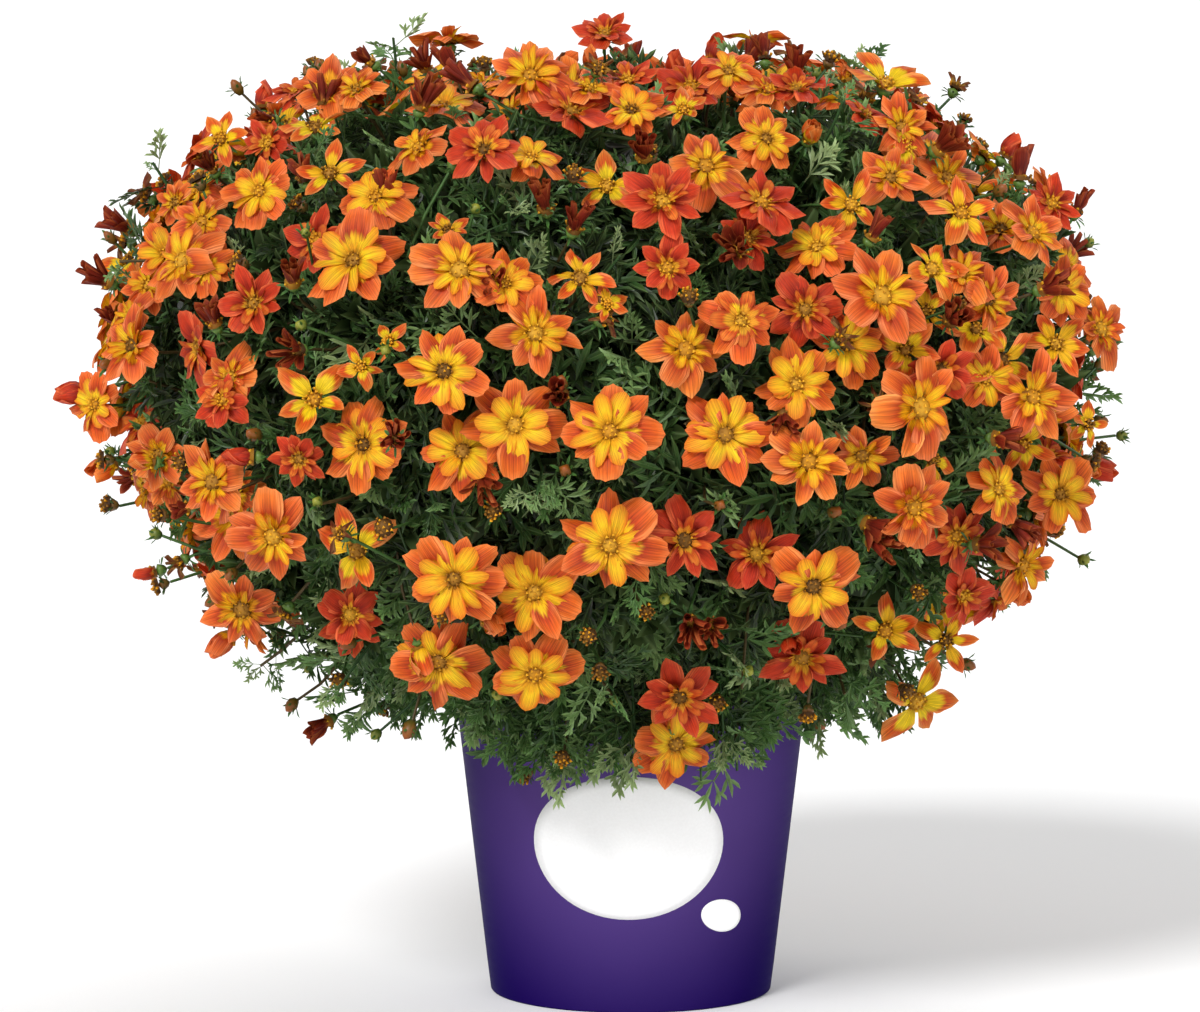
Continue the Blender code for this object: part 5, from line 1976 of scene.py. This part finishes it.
def makeOval(name, oval, rings=7, spokes=72):
    def onPot(share, turn):
        rise = oval["halfHeight"] * math.sin(turn) + oval["slope"] * oval["halfWidth"] * math.cos(turn)
        height = oval["height"] + share * rise
        radius = potRadius(height) + inkThickness
        around = oval["halfWidth"] * share * math.cos(turn) / potRadius(oval["height"])
        azimuth = math.radians(oval["turn"] - 90) + around
        return Vector((radius * math.cos(azimuth), radius * math.sin(azimuth), height))

    points = [onPot(0.0, 0.0)]
    for j in range(1, rings + 1):
        for i in range(spokes):
            points.append(onPot(j / rings, 2 * math.pi * i / spokes))
    source = newObject(name + "Source", meshFrom(name, points, ringFaces(rings, spokes)))
    skin = source.modifiers.new("thickness", "SOLIDIFY")
    skin.thickness, skin.offset = inkThickness * inkDepth, -1.0
    return bakedObject(name, source)


def makeInk():
    # screen-printed ink: flat white with a very fine orange peel
    material, add = newMaterial("screenPrintedInk")
    place = add("ShaderNodeTexCoord").outputs["Object"]
    peel = add("ShaderNodeTexNoise", None, {"Vector": place, "Scale": 900.0, "Detail": 2.0})
    colour = add("ShaderNodeValToRGB", {"stops": ((0.3, "#f8f8f8"), (0.7, "#fdfdfd"))}, {"Fac": peel})
    bump = add("ShaderNodeBump", None, {"Strength": 0.08, "Distance": 0.0001, "Height": peel})
    front = add("ShaderNodeBsdfPrincipled", None, {"Base Color": colour, "Roughness": 0.4, "Normal": bump})
    add("ShaderNodeOutputMaterial", None, {"Surface": front})
    return material


ink = makeInk()
for name, oval in ovals.items():
    patch = makeOval(name, oval)
    patch.data.materials.append(ink)
    finishPiece(patch, "pot")


# Potting soil

soilLook = {
    "rings": 22,
    "spokes": 72,
    "bump": 0.0016,
    "gap": 0.0004,  # to the pot's wall
    "lowest": 0.003,
    "seed": 88,
}


def makeSoil():
    draw = random.Random(soilLook["seed"])
    shape = potShape
    rings, spokes = soilLook["rings"], soilLook["spokes"]
    gap, lowest = soilLook["gap"], soilLook["lowest"]
    edge = potRadius(shape["soilHeight"]) - shape["wall"] - gap

    def surface(radius):
        return shape["soilHeight"] + shape["soilMound"] * (1 - (radius / edge) ** 2)

    points = [Vector((0.0, 0.0, surface(0.0)))]
    for j in range(1, rings + 1):
        for i in range(spokes):
            radius = edge * j / rings
            turn = 2 * math.pi * (i + 0.5 * (j % 2)) / spokes
            bump = soilLook["bump"] * draw.uniform(-1.0, 1.0) * (0.0 if j == rings else 1.0)
            height = surface(radius) + bump
            points.append(Vector((radius * math.cos(turn), radius * math.sin(turn), height)))
    for i in range(spokes):
        radius = potRadius(lowest) - shape["wall"] - gap
        turn = 2 * math.pi * (i + 0.5 * (rings % 2)) / spokes
        points.append(Vector((radius * math.cos(turn), radius * math.sin(turn), lowest)))
    points.append(Vector((0.0, 0.0, lowest)))
    faces = ringFaces(rings + 1, spokes, len(points) - 1)
    return newObject("pottingSoil", meshFrom("pottingSoil", points, faces))


def makePeatCompost():
    # peat compost: near-black crumbs, brown fibres, a few pale grains
    material, add = newMaterial("peatCompost")
    place = add("ShaderNodeTexCoord").outputs["Object"]
    crumbs = add("ShaderNodeTexNoise", None, {"Vector": place, "Scale": 420.0, "Detail": 4.0})
    colour = add("ShaderNodeValToRGB", {"stops": (
        (0.30, "#120c08"), (0.52, "#2c1f15"), (0.68, "#4b3726"), (0.80, "#8c8070"))}, {"Fac": crumbs})
    bump = add("ShaderNodeBump", None, {"Strength": 0.9, "Distance": 0.001, "Height": crumbs})
    front = add("ShaderNodeBsdfPrincipled", None, {"Base Color": colour, "Roughness": 0.9, "Normal": bump})
    add("ShaderNodeOutputMaterial", None, {"Surface": front})
    return material


soil = makeSoil()
soil.data.materials.append(makePeatCompost())
finishPiece(soil, "soil", "potting_soil")


# Floor and soft studio light

studio = {
    "floorSize": 900.0,
    "floorColour": "#f6f6f6",
    "worldStrength": 0.36,
    "wallStrength": 1.02,  # a pale wall all round, low above the floor
    "wallHeights": (0.14, 0.34),  # where it begins to fade, and where the sky is plain
    "lights": (  # name, the side it shines from, softness in degrees, strength
        ("keyLight", (-0.5, -1.0, 0.9), 18, 2.6),
        ("frontLight", (0.7, -1.0, 0.25), 50, 0.8),
        ("backLight", (0.4, 1.0, 1.2), 50, 1.3),
    ),
}


def makeStudio():
    half = studio["floorSize"] / 2
    corners = [(-half, -half, 0), (half, -half, 0), (half, half, 0), (-half, half, 0)]
    mesh = meshFrom("floor", corners, [(0, 1, 2, 3)])
    floor = newObject("floor", mesh)
    material, add = newMaterial("paleFloor")
    front = add("ShaderNodeBsdfPrincipled", None, {
        "Base Color": linear(studio["floorColour"]), "Roughness": 0.9, "Specular IOR Level": 0.0})
    add("ShaderNodeOutputMaterial", None, {"Surface": front})
    mesh.materials.append(material)

    world = bpy.data.worlds.new("studioWorld")
    world.use_nodes = True
    world.node_tree.nodes.clear()
    add = partial(addNode, world.node_tree)
    direction = add("ShaderNodeTexCoord").outputs["Generated"]
    height = add("ShaderNodeSeparateXYZ", None, {0: direction}).outputs["Z"]
    wallTop, skyStart = studio["wallHeights"]
    strength = add("ShaderNodeMapRange", None, {
        "Value": height, "From Min": wallTop, "From Max": skyStart,
        "To Min": studio["wallStrength"], "To Max": studio["worldStrength"]})
    sky = add("ShaderNodeBackground", None, {"Color": (1.0, 1.0, 1.0, 1.0), "Strength": strength})
    add("ShaderNodeOutputWorld", None, {"Surface": sky})
    bpy.context.scene.world = world

    for name, side, softness, strength in studio["lights"]:
        data = bpy.data.lights.new(name, "SUN")
        data.angle, data.energy = math.radians(softness), strength
        lamp = newObject(name, data)
        lamp.location = side
        lamp.rotation_euler = Vector(side).to_track_quat("Z", "Y").to_euler()
    bpy.context.scene.view_settings.view_transform = "Standard"


makeStudio()
print("studio ready")
